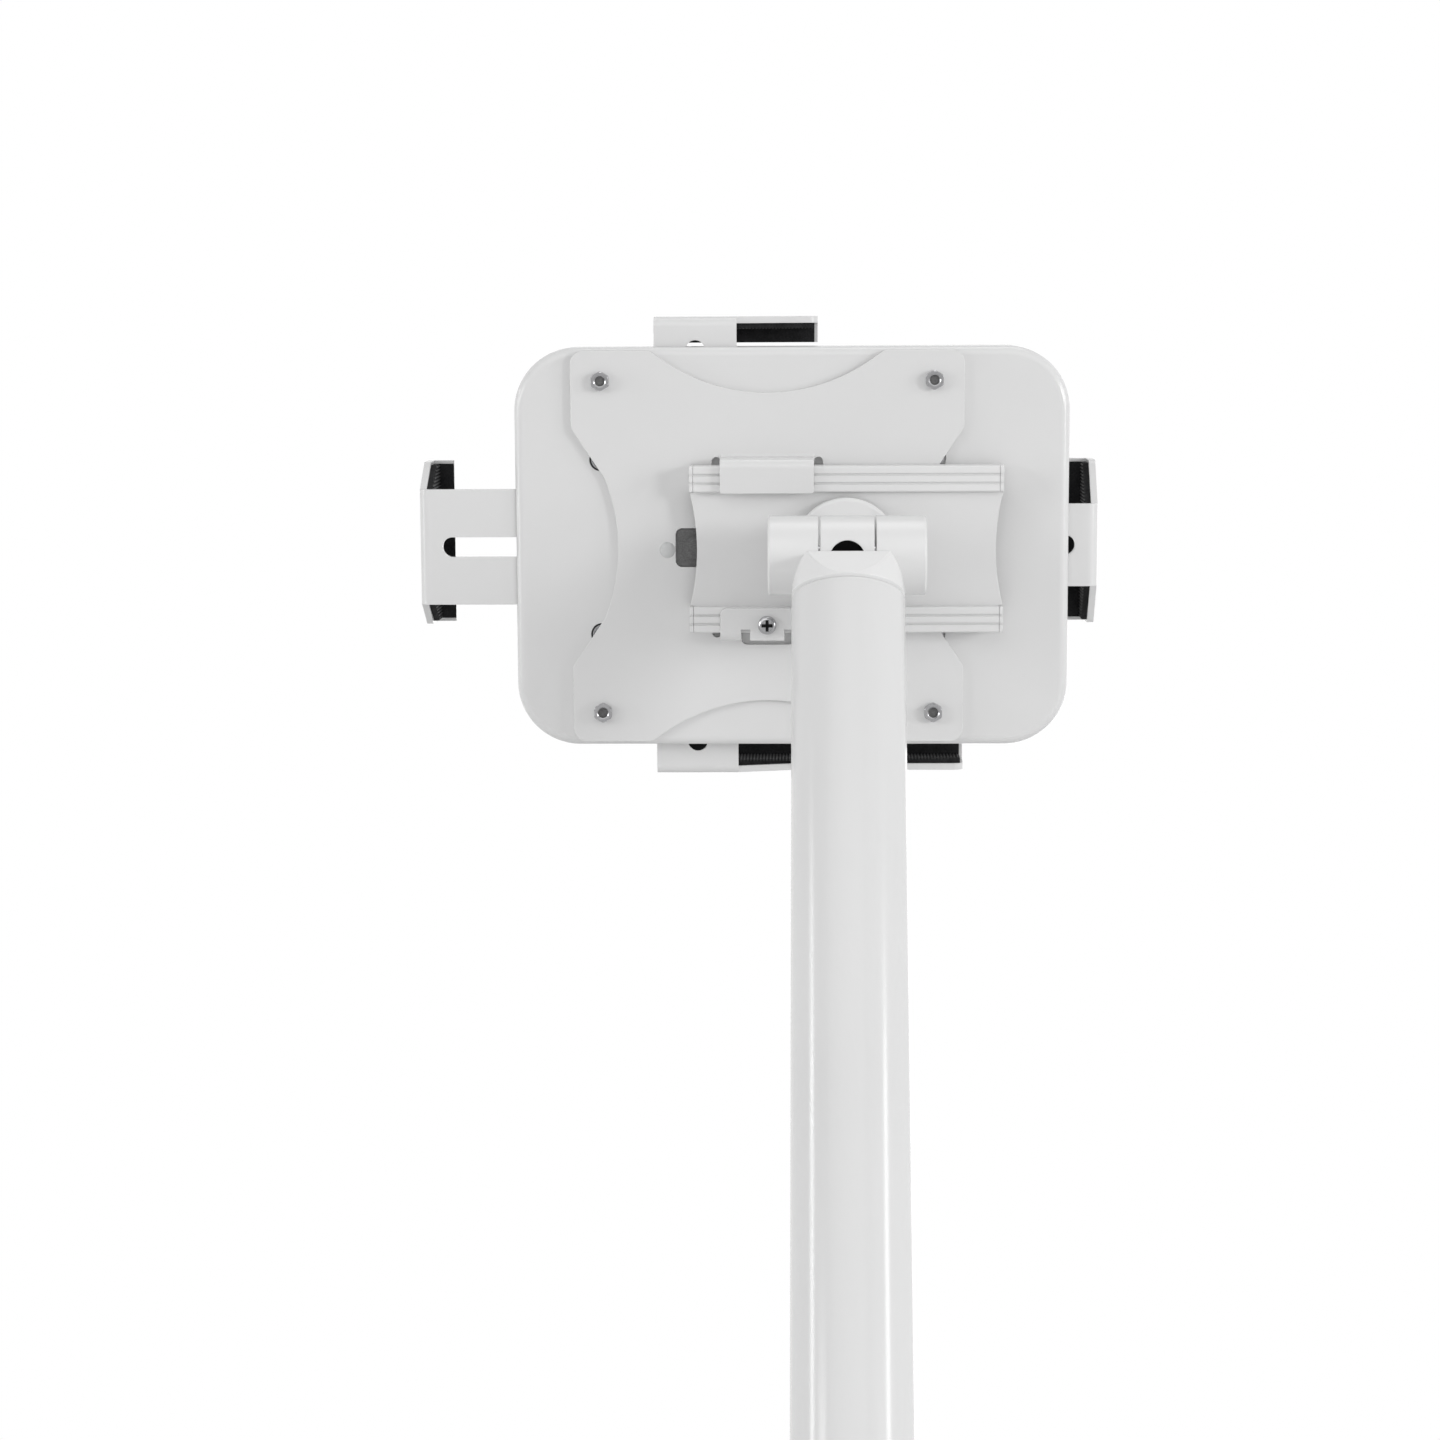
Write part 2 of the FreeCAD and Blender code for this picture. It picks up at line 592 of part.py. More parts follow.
def make_rail(side):
    bar = rail_section(-RAIL_BAR_END, RAIL_BAR_END, side)
    slot = sorted((side * (RAIL_IN - 1), side * (RAIL_OUT - RAIL_LIP)))
    return bar.cut(box(-RAIL_END, RAIL_END, WEB_Y0, WEB_Y1, slot[0], slot[1]))


def make_rail_end_caps():
    """Four thin caps with the rails' own section."""
    caps = []
    for end in (-1, 1):
        for side in (-1, 1):
            x = sorted((end * (RAIL_END - END_CAP_T), end * RAIL_END))
            caps.append(rail_section(x[0], x[1], side))
    return group(caps)


# Holder: plate, shell, cover and hardware, in the head frame

def relief_slot(side_x, side_z):
    """Round-ended cut beside the root of a tab."""
    x0 = HOLDER_SHIFT + side_x * (TAB_W / 2 + RELIEF_W / 2)
    z = side_z * (TAB_Z1 - RELIEF_W / 2)
    low = sorted((side_z * (TAB_Z1 - TAB_SWEEP), z))
    cut = box(x0 - RELIEF_W / 2, x0 + RELIEF_W / 2, PLATE_Y0 - 1, PLATE_Y1 + 1, low[0], low[1])
    return cut.fuse(rod_y(RELIEF_W / 2, PLATE_Y0 - 1, PLATE_Y1 + 1, x0, z))


def tab_profile(reach):
    """Folded tab from the plate over the rail, as an outline in y and z."""
    return [(PLATE_Y0, TAB_Z1 + TAB_ROOT, 0), (PLATE_Y0, TAB_Z0, TAB_BEND_R), (LEAF_Y0, TAB_Z0, TAB_INNER_R),
            (LEAF_Y0, TAB_Z1 - reach, 0), (LEAF_Y1, TAB_Z1 - reach, 0), (LEAF_Y1, TAB_Z1, TAB_BEND_R),
            (PLATE_Y1, TAB_Z1, TAB_INNER_R), (PLATE_Y1, TAB_Z1 + TAB_ROOT, 0)]


def make_tab(reach, corner_r):
    """Tab of the upper kind, with the two free corners of its leaf rounded."""
    half = TAB_W / 2
    tab = plate_yz(tab_profile(reach), HOLDER_SHIFT - half, HOLDER_SHIFT + half)
    free = edges_where(tab, lambda mid, span: along(span, "y") and abs(mid.z - TAB_Z1 + reach) < 0.01)
    return tab.makeFillet(corner_r, free)


def make_low_tab():
    """Lower hook: two legs carry a leaf with a screwed spring tongue between them."""
    mirrored = make_tab(TAB_LOW_REACH, TAB_LOW_CORNER_R).mirror(vec(0, 0, 0), vec(0, 0, 1))
    leg_gap = TONGUE_W / 2 + TONGUE_GAP
    slot_z = -TAB_Z1 + TONGUE_SLOT_RISE
    open_mid = box(HOLDER_SHIFT - leg_gap, HOLDER_SHIFT + leg_gap, PLATE_Y0 - 1, LEAF_Y1 + 1,
                   -TAB_Z1 - TAB_ROOT - 1, slot_z)
    tongue = box(HOLDER_SHIFT - TONGUE_W / 2, HOLDER_SHIFT + TONGUE_W / 2, LEAF_Y0, LEAF_Y1,
                 -TAB_Z1 + TONGUE_LIFT, slot_z)
    tab = mirrored.cut(open_mid).fuse(tongue)
    return tab.cut(rod_y(LOCK_SCREW_R + FIT_GAP, LEAF_Y0 - 1, LEAF_Y1 + 1, HOLDER_SHIFT, lock_screw_z()))


def lock_screw_z():
    return -TAB_Z1 + LOCK_FROM_BEND


def plate_outline_cuts():
    """Concave waists in the four sides of the plate."""
    cuts = []
    half = PLATE_HALF
    for side in (-1, 1):
        x_out = HOLDER_SHIFT + side * (half + 2)
        x_side = HOLDER_SHIFT + side * half
        x_slope = HOLDER_SHIFT + side * (half - SIDE_SLOPE)
        x_waist = HOLDER_SHIFT + side * (half - SIDE_WAIST)
        top = vec(x_slope, PLATE_Y0 - 1, SIDE_WAIST_HALF)
        low = vec(x_slope, PLATE_Y0 - 1, -SIDE_WAIST_HALF)
        points = [vec(x_side, PLATE_Y0 - 1, SIDE_NOTCH_HALF), vec(x_out, PLATE_Y0 - 1, SIDE_NOTCH_HALF),
                  vec(x_out, PLATE_Y0 - 1, -SIDE_NOTCH_HALF), vec(x_side, PLATE_Y0 - 1, -SIDE_NOTCH_HALF)]
        edges = [Part.Arc(top, vec(x_waist, PLATE_Y0 - 1, 0), low).toShape()]
        chain = [top] + points + [low]
        for a, b in zip(chain[:-1], chain[1:]):
            edges.append(Part.LineSegment(a, b).toShape())
        wire = Part.Wire(Part.__sortEdges__(edges))
        cuts.append(Part.Face(wire).extrude(vec(0, PLATE_T + 2, 0)))
    arc_r = (TOP_ARC_HALF ** 2 + TOP_ARC_DEPTH ** 2) / (2 * TOP_ARC_DEPTH)
    for side in (-1, 1):
        z = side * (half - TOP_ARC_DEPTH + arc_r)
        cuts.append(rod_y(arc_r, PLATE_Y0 - 1, PLATE_Y1 + 1, HOLDER_SHIFT, z))
    return cuts


def pattern_points(half_x, half_z):
    """Four places mirrored about the holder's centre."""
    places = []
    for sx in (-1, 1):
        for sz in (-1, 1):
            places.append((HOLDER_SHIFT + sx * half_x, sz * half_z))
    return places


def clamp_window(y0, y1):
    return plate_xz(rounded_rect(CLAMP_POINT_X, CLAMP_Z, WINDOW, WINDOW, WINDOW_R), y0, y1)


def tongue_bridge():
    """Strip of plate that closes the slit below the tongue, with two rounded corners."""
    half = TONGUE_W / 2 + TONGUE_GAP
    low = -TAB_Z1 - TONGUE_SLIT
    strip = box(HOLDER_SHIFT - half, HOLDER_SHIFT + half, PLATE_Y0, PLATE_Y1, -TAB_Z1 - TAB_ROOT,
                low + TONGUE_SLIT_R)
    opening = rounded_rect(HOLDER_SHIFT, low + half, 2 * half, 2 * half, TONGUE_SLIT_R)
    return strip.cut(plate_xz(opening, PLATE_Y0 - 1, PLATE_Y1 + 1))


def make_vesa_plate():
    half = PLATE_HALF
    plate = box(HOLDER_SHIFT - half, HOLDER_SHIFT + half, PLATE_Y0, PLATE_Y1, -half, half)
    for cut in plate_outline_cuts():
        plate = plate.cut(cut)
    corners = edges_where(plate, lambda mid, span: along(span, "y"))
    plate = plate.makeFillet(PLATE_CORNER_R, corners)
    wide = TAB_W / 2 + RELIEF_W
    for side in (-1, 1):
        z = sorted((side * TAB_Z0, side * (TAB_Z1 - TAB_SWEEP)))
        plate = plate.cut(box(HOLDER_SHIFT - wide, HOLDER_SHIFT + wide, PLATE_Y0 - 1, PLATE_Y1 + 1, z[0], z[1]))
        for side_x in (-1, 1):
            plate = plate.cut(relief_slot(side_x, side))
        root = sorted((side * (TAB_Z0 - 1), side * (TAB_Z1 + TAB_ROOT)))
        plate = plate.cut(box(HOLDER_SHIFT - TAB_W / 2, HOLDER_SHIFT + TAB_W / 2,
                              PLATE_Y0 - 1, PLATE_Y1 + 1, root[0], root[1]))
    plate = plate.fuse(make_tab(TAB_REACH, TAB_CORNER_R)).fuse(make_low_tab())
    plate = plate.fuse(tongue_bridge())
    plate = plate.cut(clamp_window(PLATE_Y0 - 1, PLATE_Y1 + 1))
    for x, z in pattern_points(VESA_PITCH / 2, VESA_PITCH / 2):
        plate = plate.cut(rod_y(STUD_R + SEAT_GAP, PLATE_Y0 - 1, PLATE_Y1 + 1, x, z))
    return plate.removeSplitter()


def make_slide_lock_screw():
    z = lock_screw_z()
    head = rod_y(LOCK_HEAD_R, LEAF_Y1, LEAF_Y1 + LOCK_HEAD_T, HOLDER_SHIFT, z)
    crown = edges_where(head, lambda mid, span: abs(mid.y - LEAF_Y1 - LOCK_HEAD_T) < 0.01)
    head = head.makeFillet(LOCK_CROWN_R, crown)
    top = LEAF_Y1 + LOCK_HEAD_T
    half = CROSS_LEN / 2
    for wide, tall in ((half, CROSS_W / 2), (CROSS_W / 2, half)):
        head = head.cut(box(HOLDER_SHIFT - wide, HOLDER_SHIFT + wide, top - CROSS_DEPTH, top + 1,
                            z - tall, z + tall))
    shank = rod_y(LOCK_SCREW_R, LEAF_Y0, LEAF_Y1, HOLDER_SHIFT, z)
    return head.fuse(shank).removeSplitter()


def make_vesa_studs():
    """Studs pressed into the shell's back, standing through the plate."""
    tip = PLATE_Y1 + NUT_T - STUD_SHORT
    studs = []
    for x, z in pattern_points(VESA_PITCH / 2, VESA_PITCH / 2):
        flange = rod_y(STUD_FLANGE_R, PLATE_Y0 - SHELL_WALL - STUD_FLANGE_T, PLATE_Y0 - SHELL_WALL, x, z)
        studs.append(flange.fuse(rod_y(STUD_R, PLATE_Y0 - SHELL_WALL, tip, x, z)).removeSplitter())
    return group(studs)


def make_vesa_nuts():
    nuts = []
    for x, z in pattern_points(VESA_PITCH / 2, VESA_PITCH / 2):
        nut = hexagon(NUT_AF, vec(x, PLATE_Y1, z), vec(x, PLATE_Y1 + NUT_T, z))
        nut = nut.common(rod_y(NUT_TURN * NUT_AF / 2, PLATE_Y1, PLATE_Y1 + NUT_T, x, z))
        nuts.append(nut.cut(rod_y(STUD_R, PLATE_Y1 - 1, PLATE_Y1 + NUT_T + 1, x, z)))
    return group(nuts)


def arm_windows():
    """Slots in the shell's walls that the four straps slide through."""
    deep = SHELL_WALL + 6
    left = SHELL_X + SHELL_W / 2
    right = SHELL_X - SHELL_W / 2
    top = SHELL_Z + SHELL_H / 2
    low = SHELL_Z - SHELL_H / 2
    wide = LEFT_STRAP_W / 2 + RUN_GAP
    slim = SMALL_STRAP_W / 2 + RUN_GAP
    return [
        box(left - deep, left + 1, LEFT_Y - RUN_GAP, LEFT_Y + ARM_T + RUN_GAP, CLAMP_Z - wide, CLAMP_Z + wide),
        box(right - 1, right + deep, RIGHT_Y - RUN_GAP, RIGHT_Y + ARM_T + RUN_GAP, CLAMP_Z - slim, CLAMP_Z + slim),
        box(CLAMP_POINT_X - slim, CLAMP_POINT_X + slim, TOP_Y - RUN_GAP, TOP_Y + ARM_T + RUN_GAP, top - deep, top + 1),
        box(CLAMP_POINT_X - slim, CLAMP_POINT_X + slim, BOTTOM_Y - RUN_GAP, BOTTOM_Y + ARM_T + RUN_GAP,
            low - 1, low + deep),
    ]


def make_holder_shell():
    """Pressed pan, open at the front."""
    outline = rounded_rect(SHELL_X, SHELL_Z, SHELL_W, SHELL_H, SHELL_CORNER_R)
    pan = plate_xz(outline, SHELL_Y0, PLATE_Y0)
    rim = edges_where(pan, lambda mid, span: mid.y > PLATE_Y0 - 0.01)
    pan = pan.makeFillet(SHELL_EDGE_R, rim)
    inset = 2 * SHELL_WALL
    hollow = plate_xz(rounded_rect(SHELL_X, SHELL_Z, SHELL_W - inset, SHELL_H - inset,
                                   SHELL_CORNER_R - SHELL_WALL), SHELL_Y0 - 1, PLATE_Y0 - SHELL_WALL)
    rim = edges_where(hollow, lambda mid, span: mid.y > PLATE_Y0 - SHELL_WALL - 0.01)
    pan = pan.cut(hollow.makeFillet(SHELL_EDGE_R - SHELL_WALL, rim))
    for window in arm_windows():
        pan = pan.cut(window)
    pan = pan.cut(rod_y(CLAMP_BOLT_R + SEAT_GAP, PLATE_Y0 - 4, PLATE_Y0 + 1, CLAMP_POINT_X, CLAMP_Z))
    for x, z in pattern_points(COVER_SCREW_X, COVER_SCREW_Z):
        pan = pan.cut(rod_y(COVER_SCREW_R + SEAT_GAP, PLATE_Y0 - 4, PLATE_Y0 + 1, x, z))
        pan = pan.cut(rod_y(COVER_BORE_R, PLATE_Y0 - COVER_BORE_DEPTH, PLATE_Y0 + 1, x, z))
    for x, z in pattern_points(VESA_PITCH / 2, VESA_PITCH / 2):
        pan = pan.cut(rod_y(STUD_R, PLATE_Y0 - 4, PLATE_Y0 + 1, x, z))
    return pan


def make_front_cover():
    outline = rounded_rect(SHELL_X, SHELL_Z, SHELL_W, SHELL_H, SHELL_CORNER_R)
    cover = plate_xz(outline, FOAM_T, SHELL_Y0)
    for x, z in pattern_points(COVER_SCREW_X, COVER_SCREW_Z):
        cover = cover.cut(rod_y(COVER_SCREW_R, FOAM_T - 1, SHELL_Y0 + 1, x, z))
    return cover


def make_cover_screws():
    """Flat-headed screws in the counterbores of the shell's back."""
    screws = []
    seat = PLATE_Y0 - COVER_BORE_DEPTH
    top = seat + COVER_HEAD_T
    for x, z in pattern_points(COVER_SCREW_X, COVER_SCREW_Z):
        shank = rod_y(COVER_SCREW_R, FOAM_T, seat, x, z)
        screw = shank.fuse(rod_y(COVER_HEAD_R, seat, top, x, z)).removeSplitter()
        socket = hexagon(COVER_HEX, vec(x, top - COVER_HEX_DEPTH, z), vec(x, top + 1, z))
        screws.append(screw.cut(socket))
    return group(screws)


def make_spacer_tubes():
    tubes = []
    for x, z in pattern_points(COVER_SCREW_X, COVER_SCREW_Z):
        tube = rod_y(SPACER_R, SHELL_Y0, PLATE_Y0 - SHELL_WALL, x, z)
        tubes.append(tube.cut(rod_y(COVER_SCREW_R + SEAT_GAP, SHELL_Y0 - 1, PLATE_Y0, x, z)))
    return group(tubes)


def make_clamp_bolt():
    head_y1 = BOTTOM_Y - RUN_GAP
    head = rod_y(CLAMP_HEAD_R, head_y1 - CLAMP_HEAD_T, head_y1, CLAMP_POINT_X, CLAMP_Z)
    rim = edges_where(head, lambda mid, span: abs(mid.y - head_y1 + CLAMP_HEAD_T) < 0.01)
    head = head.makeChamfer(BOLT_EDGE, rim)
    tip = PLATE_Y0 + CLAMP_WASHER_T + CLAMP_NUT_T
    shank = rod_y(CLAMP_BOLT_R, head_y1, tip, CLAMP_POINT_X, CLAMP_Z)
    return head.fuse(shank).removeSplitter()


def make_clamp_washer():
    washer = rod_y(CLAMP_WASHER_R, PLATE_Y0, PLATE_Y0 + CLAMP_WASHER_T, CLAMP_POINT_X, CLAMP_Z)
    return washer.cut(rod_y(CLAMP_BOLT_R, PLATE_Y0 - 1, PLATE_Y1 + 1, CLAMP_POINT_X, CLAMP_Z))


def make_clamp_nut():
    """Square nut that the plate's window keeps from turning, with a round collar."""
    y0 = PLATE_Y0 + CLAMP_WASHER_T
    y1 = y0 + CLAMP_NUT_T
    side = WINDOW - 2 * RUN_GAP
    outline = rounded_rect(CLAMP_POINT_X, CLAMP_Z, side, side, WINDOW_R - RUN_GAP)
    nut = plate_xz(outline, y0, y0 + CLAMP_NUT_BASE)
    nut = nut.fuse(rod_y(CLAMP_COLLAR_R, y0 + CLAMP_NUT_BASE, y1, CLAMP_POINT_X, CLAMP_Z)).removeSplitter()
    return nut.cut(rod_y(CLAMP_BOLT_R, y0 - 1, y1 + 1, CLAMP_POINT_X, CLAMP_Z))


def make_plate_bumper():
    """Small clear dome stuck on the plate beside the clamp window."""
    sphere_r = (BUMPER_R ** 2 + BUMPER_T ** 2) / (2 * BUMPER_T)
    x = CLAMP_POINT_X + WINDOW / 2 + BUMPER_GAP + BUMPER_R
    ball = Part.makeSphere(sphere_r, vec(x, PLATE_Y1 + BUMPER_T - sphere_r, CLAMP_Z - BUMPER_DROP))
    size = 2 * sphere_r
    keep = box(x - size, x + size, PLATE_Y1, PLATE_Y1 + size, CLAMP_Z - size, CLAMP_Z + size)
    return ball.common(keep)


def make_front_pads():
    """Foam strips on the cover that the tablet's back rests on."""
    pads = []
    for side in (-1, 1):
        x = SHELL_X + side * FOAM_SPREAD / 2
        outline = rounded_rect(x, SHELL_Z, FOAM_W, FOAM_LEN, FOAM_CORNER_R)
        pads.append(plate_xz(outline, 0, FOAM_T))
    return group(pads)


# Arms: each is one folded strip, drawn pointing to +x and then turned to its side

def ear_cut(strap_y, half, side, tip, inset, x0, x1):
    """Block that slopes an ear down from the strap's edge; a long ear then runs level to its tip."""
    root = strap_y - EAR_ROOT - inset
    low = EAR_TIP_Y - inset
    foot = tip if tip - half < 2 * LONG_EAR_RUN else half + LONG_EAR_RUN
    far = tip + 2
    above = strap_y + 2 * ARM_T
    corners = [(root, side * half, 0), (low, side * foot, 0), (low, side * far, 0),
               (above, side * far, 0), (above, side * half, 0)]
    return plate_yz(corners, x0, x1)


def arm_body(reach, strap_y, strap_w, slot_over, clamp_reach, head_low, head_high):
    """Slotted strap, bent wall with sloped ears and a front lip.

    reach is from the pattern's centre to the outer face, clamp_reach from that
    centre to the clamp bolt, both along the arm. Drawn with the clamp at the origin.
    """
    outer = reach - clamp_reach
    inner = -slot_over - ARM_TAIL
    back = strap_y + ARM_T
    profile = [(inner, strap_y, 0), (outer - ARM_T, strap_y, ARM_INNER_R),
               (outer - ARM_T, LIP_Y0 + LIP_T, ARM_INNER_R), (outer - ARM_T - ARM_LIP, LIP_Y0 + LIP_T, 0),
               (outer - ARM_T - ARM_LIP, LIP_Y0, LIP_TIP_R), (outer, LIP_Y0, ARM_BEND_R),
               (outer, back, ARM_BEND_R), (inner, back, 0)]
    wire = rounded_wire(profile, lambda a, b: vec(a, b, -head_low))
    arm = Part.Face(wire).extrude(vec(0, 0, head_low + head_high))
    half = strap_w / 2
    for side, tip in ((-1, head_low), (1, head_high)):
        if tip > half + 1:
            arm = arm.cut(ear_cut(strap_y, half, side, tip, 0, inner - 1, outer + 1))
    slot_x1 = outer - ARM_SLOT_END
    slot_half = ARM_SLOT_W / 2
    slot = box(-slot_over, slot_x1 - slot_half, strap_y - 1, back + 1, -slot_half, slot_half)
    slot = slot.fuse(rod_y(slot_half, strap_y - 1, back + 1, slot_x1 - slot_half, 0))
    slot = slot.fuse(rod_y(slot_half, strap_y - 1, back + 1, -slot_over, 0))
    arm = arm.cut(slot)
    tips = edges_where(arm, lambda mid, span: along(span, "x") and abs(span.x) < ARM_T + 0.01
                       and abs(mid.y - EAR_TIP_Y) < 0.01
                       and (abs(mid.z + head_low) < 0.01 or abs(mid.z - head_high) < 0.01))
    return arm, tips


def arm_pad(reach, strap_y, strap_w, clamp_reach, head_low, head_high):
    """Soft lining on the inner face of the wall and the lip."""
    wall = reach - clamp_reach - ARM_T
    front = LIP_Y0 + LIP_T
    back = strap_y - ARM_INNER_R - PAD_FROM_BEND
    profile = [(wall, back, 0), (wall, front + ARM_INNER_R, 0), (wall - ARM_INNER_R, front, 0),
               (wall - ARM_LIP, front, 0), (wall - ARM_LIP, front + PAD_LIP_T, 0),
               (wall - ARM_PAD_T, front + PAD_LIP_T, 0), (wall - ARM_PAD_T, back, 0)]
    wire = rounded_wire(profile, lambda a, b: vec(a, b, -head_low))
    pad = Part.Face(wire).extrude(vec(0, 0, head_low + head_high))
    half = strap_w / 2
    for side, tip in ((-1, head_low), (1, head_high)):
        if tip > half + 1:
            pad = pad.cut(ear_cut(strap_y, half, side, tip, PAD_INSET, wall - ARM_LIP - 1, wall + 1))
    return pad


def turned(shape, angle):
    """Turn a part drawn at the clamp bolt to its side and move it there."""
    placed = shape.copy()
    placed.rotate(vec(0, 0, 0), vec(0, 1, 0), angle)
    placed.translate(vec(CLAMP_POINT_X, 0, CLAMP_Z))
    return placed


def make_arms():
    """All four arms and their pads by node name."""
    half_low = SMALL_STRAP_W / 2
    sides = {
        "left": (LEFT_REACH, LEFT_Y, LEFT_STRAP_W, LEFT_SLOT_OVER, CLAMP_X, SIDE_HEAD_HALF, SIDE_HEAD_HALF, 0),
        "right": (RIGHT_REACH, RIGHT_Y, SMALL_STRAP_W, RIGHT_SLOT_OVER, -CLAMP_X,
                  SIDE_HEAD_HALF, SIDE_HEAD_HALF, 180),
        "top": (TOP_REACH, TOP_Y, SMALL_STRAP_W, SHORT_SLOT_OVER, CLAMP_Z, half_low, TOP_HEAD_LONG, -90),
        "bottom": (BOTTOM_REACH, BOTTOM_Y, SMALL_STRAP_W, SHORT_SLOT_OVER, -CLAMP_Z,
                   BOTTOM_HEAD_LONG, half_low, 90),
    }
    parts = {}
    for name, values in sides.items():
        reach, strap_y, strap_w, over, clamp_reach, low, high, angle = values
        arm, tips = arm_body(reach, strap_y, strap_w, over, clamp_reach, low, high)
        if tips:
            arm = arm.makeFillet(EAR_R, tips)
        parts[name + "_arm"] = turned(arm, angle)
        parts[name + "_pad"] = turned(arm_pad(reach, strap_y, strap_w, clamp_reach, low - PAD_INSET,
                                                 high - PAD_INSET), angle)
    return parts


def tilted(shape):
    """Carry a head-frame shape to its rest place in the row frame."""
    placed = shape.copy()
    placed.translate(vec(0, -HINGE_Y, 0))
    placed.rotate(vec(0, 0, 0), vec(1, 0, 0), -REST_TILT)
    placed.translate(vec(0, -HINGE_LEAD, HINGE_Z))
    return placed


os.makedirs("parts", exist_ok=True)

STAND = {
    "base_plate": make_base_plate(),
    "foot_pads": make_foot_pads(),
    "base_bolt": make_base_bolt(),
    "pole_plug": make_pole_plug(),
    "pole_tube": make_pole_tube(),
    "pole_head": make_pole_head(),
    "tilt_bolt": make_tilt_bolt(),
    "tilt_nut": make_tilt_nut(),
}

HEAD = {
    "tilt_knuckle": make_tilt_knuckle(),
    "tension_screw": make_tension_screw(),
    "turn_bolt": make_turn_bolt(),
    "turn_washer": make_turn_washer(),
    "carrier_web": make_carrier_web(),
    "upper_rail": make_rail(1),
    "lower_rail": make_rail(-1),
    "rail_end_caps": make_rail_end_caps(),
    "vesa_plate": make_vesa_plate(),
    "slide_lock_screw": make_slide_lock_screw(),
    "vesa_studs": make_vesa_studs(),
    "vesa_nuts": make_vesa_nuts(),
    "holder_shell": make_holder_shell(),
    "front_cover": make_front_cover(),
    "cover_screws": make_cover_screws(),
    "spacer_tubes": make_spacer_tubes(),
    "clamp_bolt": make_clamp_bolt(),
    "clamp_washer": make_clamp_washer(),
    "clamp_nut": make_clamp_nut(),
    "plate_bumper": make_plate_bumper(),
    "front_pads": make_front_pads(),
}
HEAD.update(make_arms())

for node, shape in STAND.items():
    shape.exportStep("parts/" + node + ".step")
for node, shape in HEAD.items():
    tilted(shape).exportStep("parts/" + node + ".step")
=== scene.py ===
import json
import math

import bmesh
import bpy
from mathutils import Matrix, Vector


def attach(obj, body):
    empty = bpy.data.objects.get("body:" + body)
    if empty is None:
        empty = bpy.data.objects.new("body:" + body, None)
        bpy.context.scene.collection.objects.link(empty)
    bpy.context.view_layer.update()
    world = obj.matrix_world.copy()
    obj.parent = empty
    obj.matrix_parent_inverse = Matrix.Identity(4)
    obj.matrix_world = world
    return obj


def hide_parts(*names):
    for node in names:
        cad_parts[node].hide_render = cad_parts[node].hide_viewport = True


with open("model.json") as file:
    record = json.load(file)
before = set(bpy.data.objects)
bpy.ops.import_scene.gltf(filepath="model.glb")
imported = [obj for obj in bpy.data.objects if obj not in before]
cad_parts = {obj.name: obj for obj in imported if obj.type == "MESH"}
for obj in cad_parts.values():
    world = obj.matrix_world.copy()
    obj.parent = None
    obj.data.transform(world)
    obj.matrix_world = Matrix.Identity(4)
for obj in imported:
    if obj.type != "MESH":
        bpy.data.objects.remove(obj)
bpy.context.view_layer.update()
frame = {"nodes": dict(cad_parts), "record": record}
NODES = frame["nodes"]
SLOT_OF = {part["node"]: part["material_slot"] for part in frame["record"]["subparts"]}

# The photograph's frame and the camera that took it
PHOTO_PX = 1440
FOCAL_PX = 3049.2
SENSOR_MM = 36.0
CAMERA_AT = Vector((0.00987, 0.78416, 0.68047))
CAMERA_PITCH = math.radians(22.111)
CAMERA_YAW = math.radians(-1.891)
CAMERA_ROLL = math.radians(0.661)
CLIP_START = 0.01

# Colours, as linear values
WHITE_STEEL = (0.735, 0.735, 0.735)
WHITE_CAST = (0.79, 0.79, 0.79)
WHITE_RAIL = (0.77, 0.77, 0.77)
# Painted highlight colour along sharp edges
EDGE_HIGHLIGHT_WHITE = (0.93, 0.93, 0.93)
ZINC = (0.47, 0.47, 0.48)
# Dark oxide-coated steel, also painted shade on the stud ends and in the nuts' bores
BLACK_OXIDE_AND_SHADE = (0.13, 0.13, 0.13)
# Near-black painted shade, for the tension screw in its deep eye and the lock screw's cross recess
SHADE_BLACK = (0.002, 0.002, 0.002)
BLACK_FOAM = (0.018, 0.018, 0.019)
BLACK_RUBBER = (0.02, 0.02, 0.021)
NYLON = (0.74, 0.74, 0.70)
CLEAR = (0.97, 0.98, 0.98)
FLOOR_GREY = (0.86, 0.86, 0.86)

# Part of the noise's range that colour and gloss follow
NOISE_LOW = 0.3
NOISE_HIGH = 0.7

# Where the painted edge highlight starts and where it is brightest, as the cosine of the edge's bend
EDGE_START = 0.995
EDGE_FULL = 0.8

# Powder coat: size of its clouds, their strength, and the drift of its gloss
CLOUD_SCALE = 18.0
CLOUD_SPREAD = 0.012
GLOSS_DRIFT = 0.02


def make_material(name, colour, metallic=0.0, specular=0.5):
    """A node material with its shader's plain numbers set; returns it, its tree and its shader."""
    material = bpy.data.materials.new(name)
    material.use_nodes = True
    tree = material.node_tree
    shader = tree.nodes["Principled BSDF"]
    shader.inputs["Base Color"].default_value = (*colour, 1.0)
    shader.inputs["Metallic"].default_value = metallic
    shader.inputs["Specular IOR Level"].default_value = specular
    material.diffuse_color = (*colour, 1.0)
    return material, tree, shader


def noise_node(tree, scale, detail=2.0, stretch=(1, 1, 1)):
    """Noise laid out in the part's own metres, stretched along an axis if asked."""
    place = tree.nodes.new("ShaderNodeTexCoord")
    squeeze = tree.nodes.new("ShaderNodeMapping")
    squeeze.inputs["Scale"].default_value = stretch
    noise = tree.nodes.new("ShaderNodeTexNoise")
    noise.inputs["Scale"].default_value = scale
    noise.inputs["Detail"].default_value = detail
    tree.links.new(place.outputs["Object"], squeeze.inputs["Vector"])
    tree.links.new(squeeze.outputs["Vector"], noise.inputs["Vector"])
    return noise


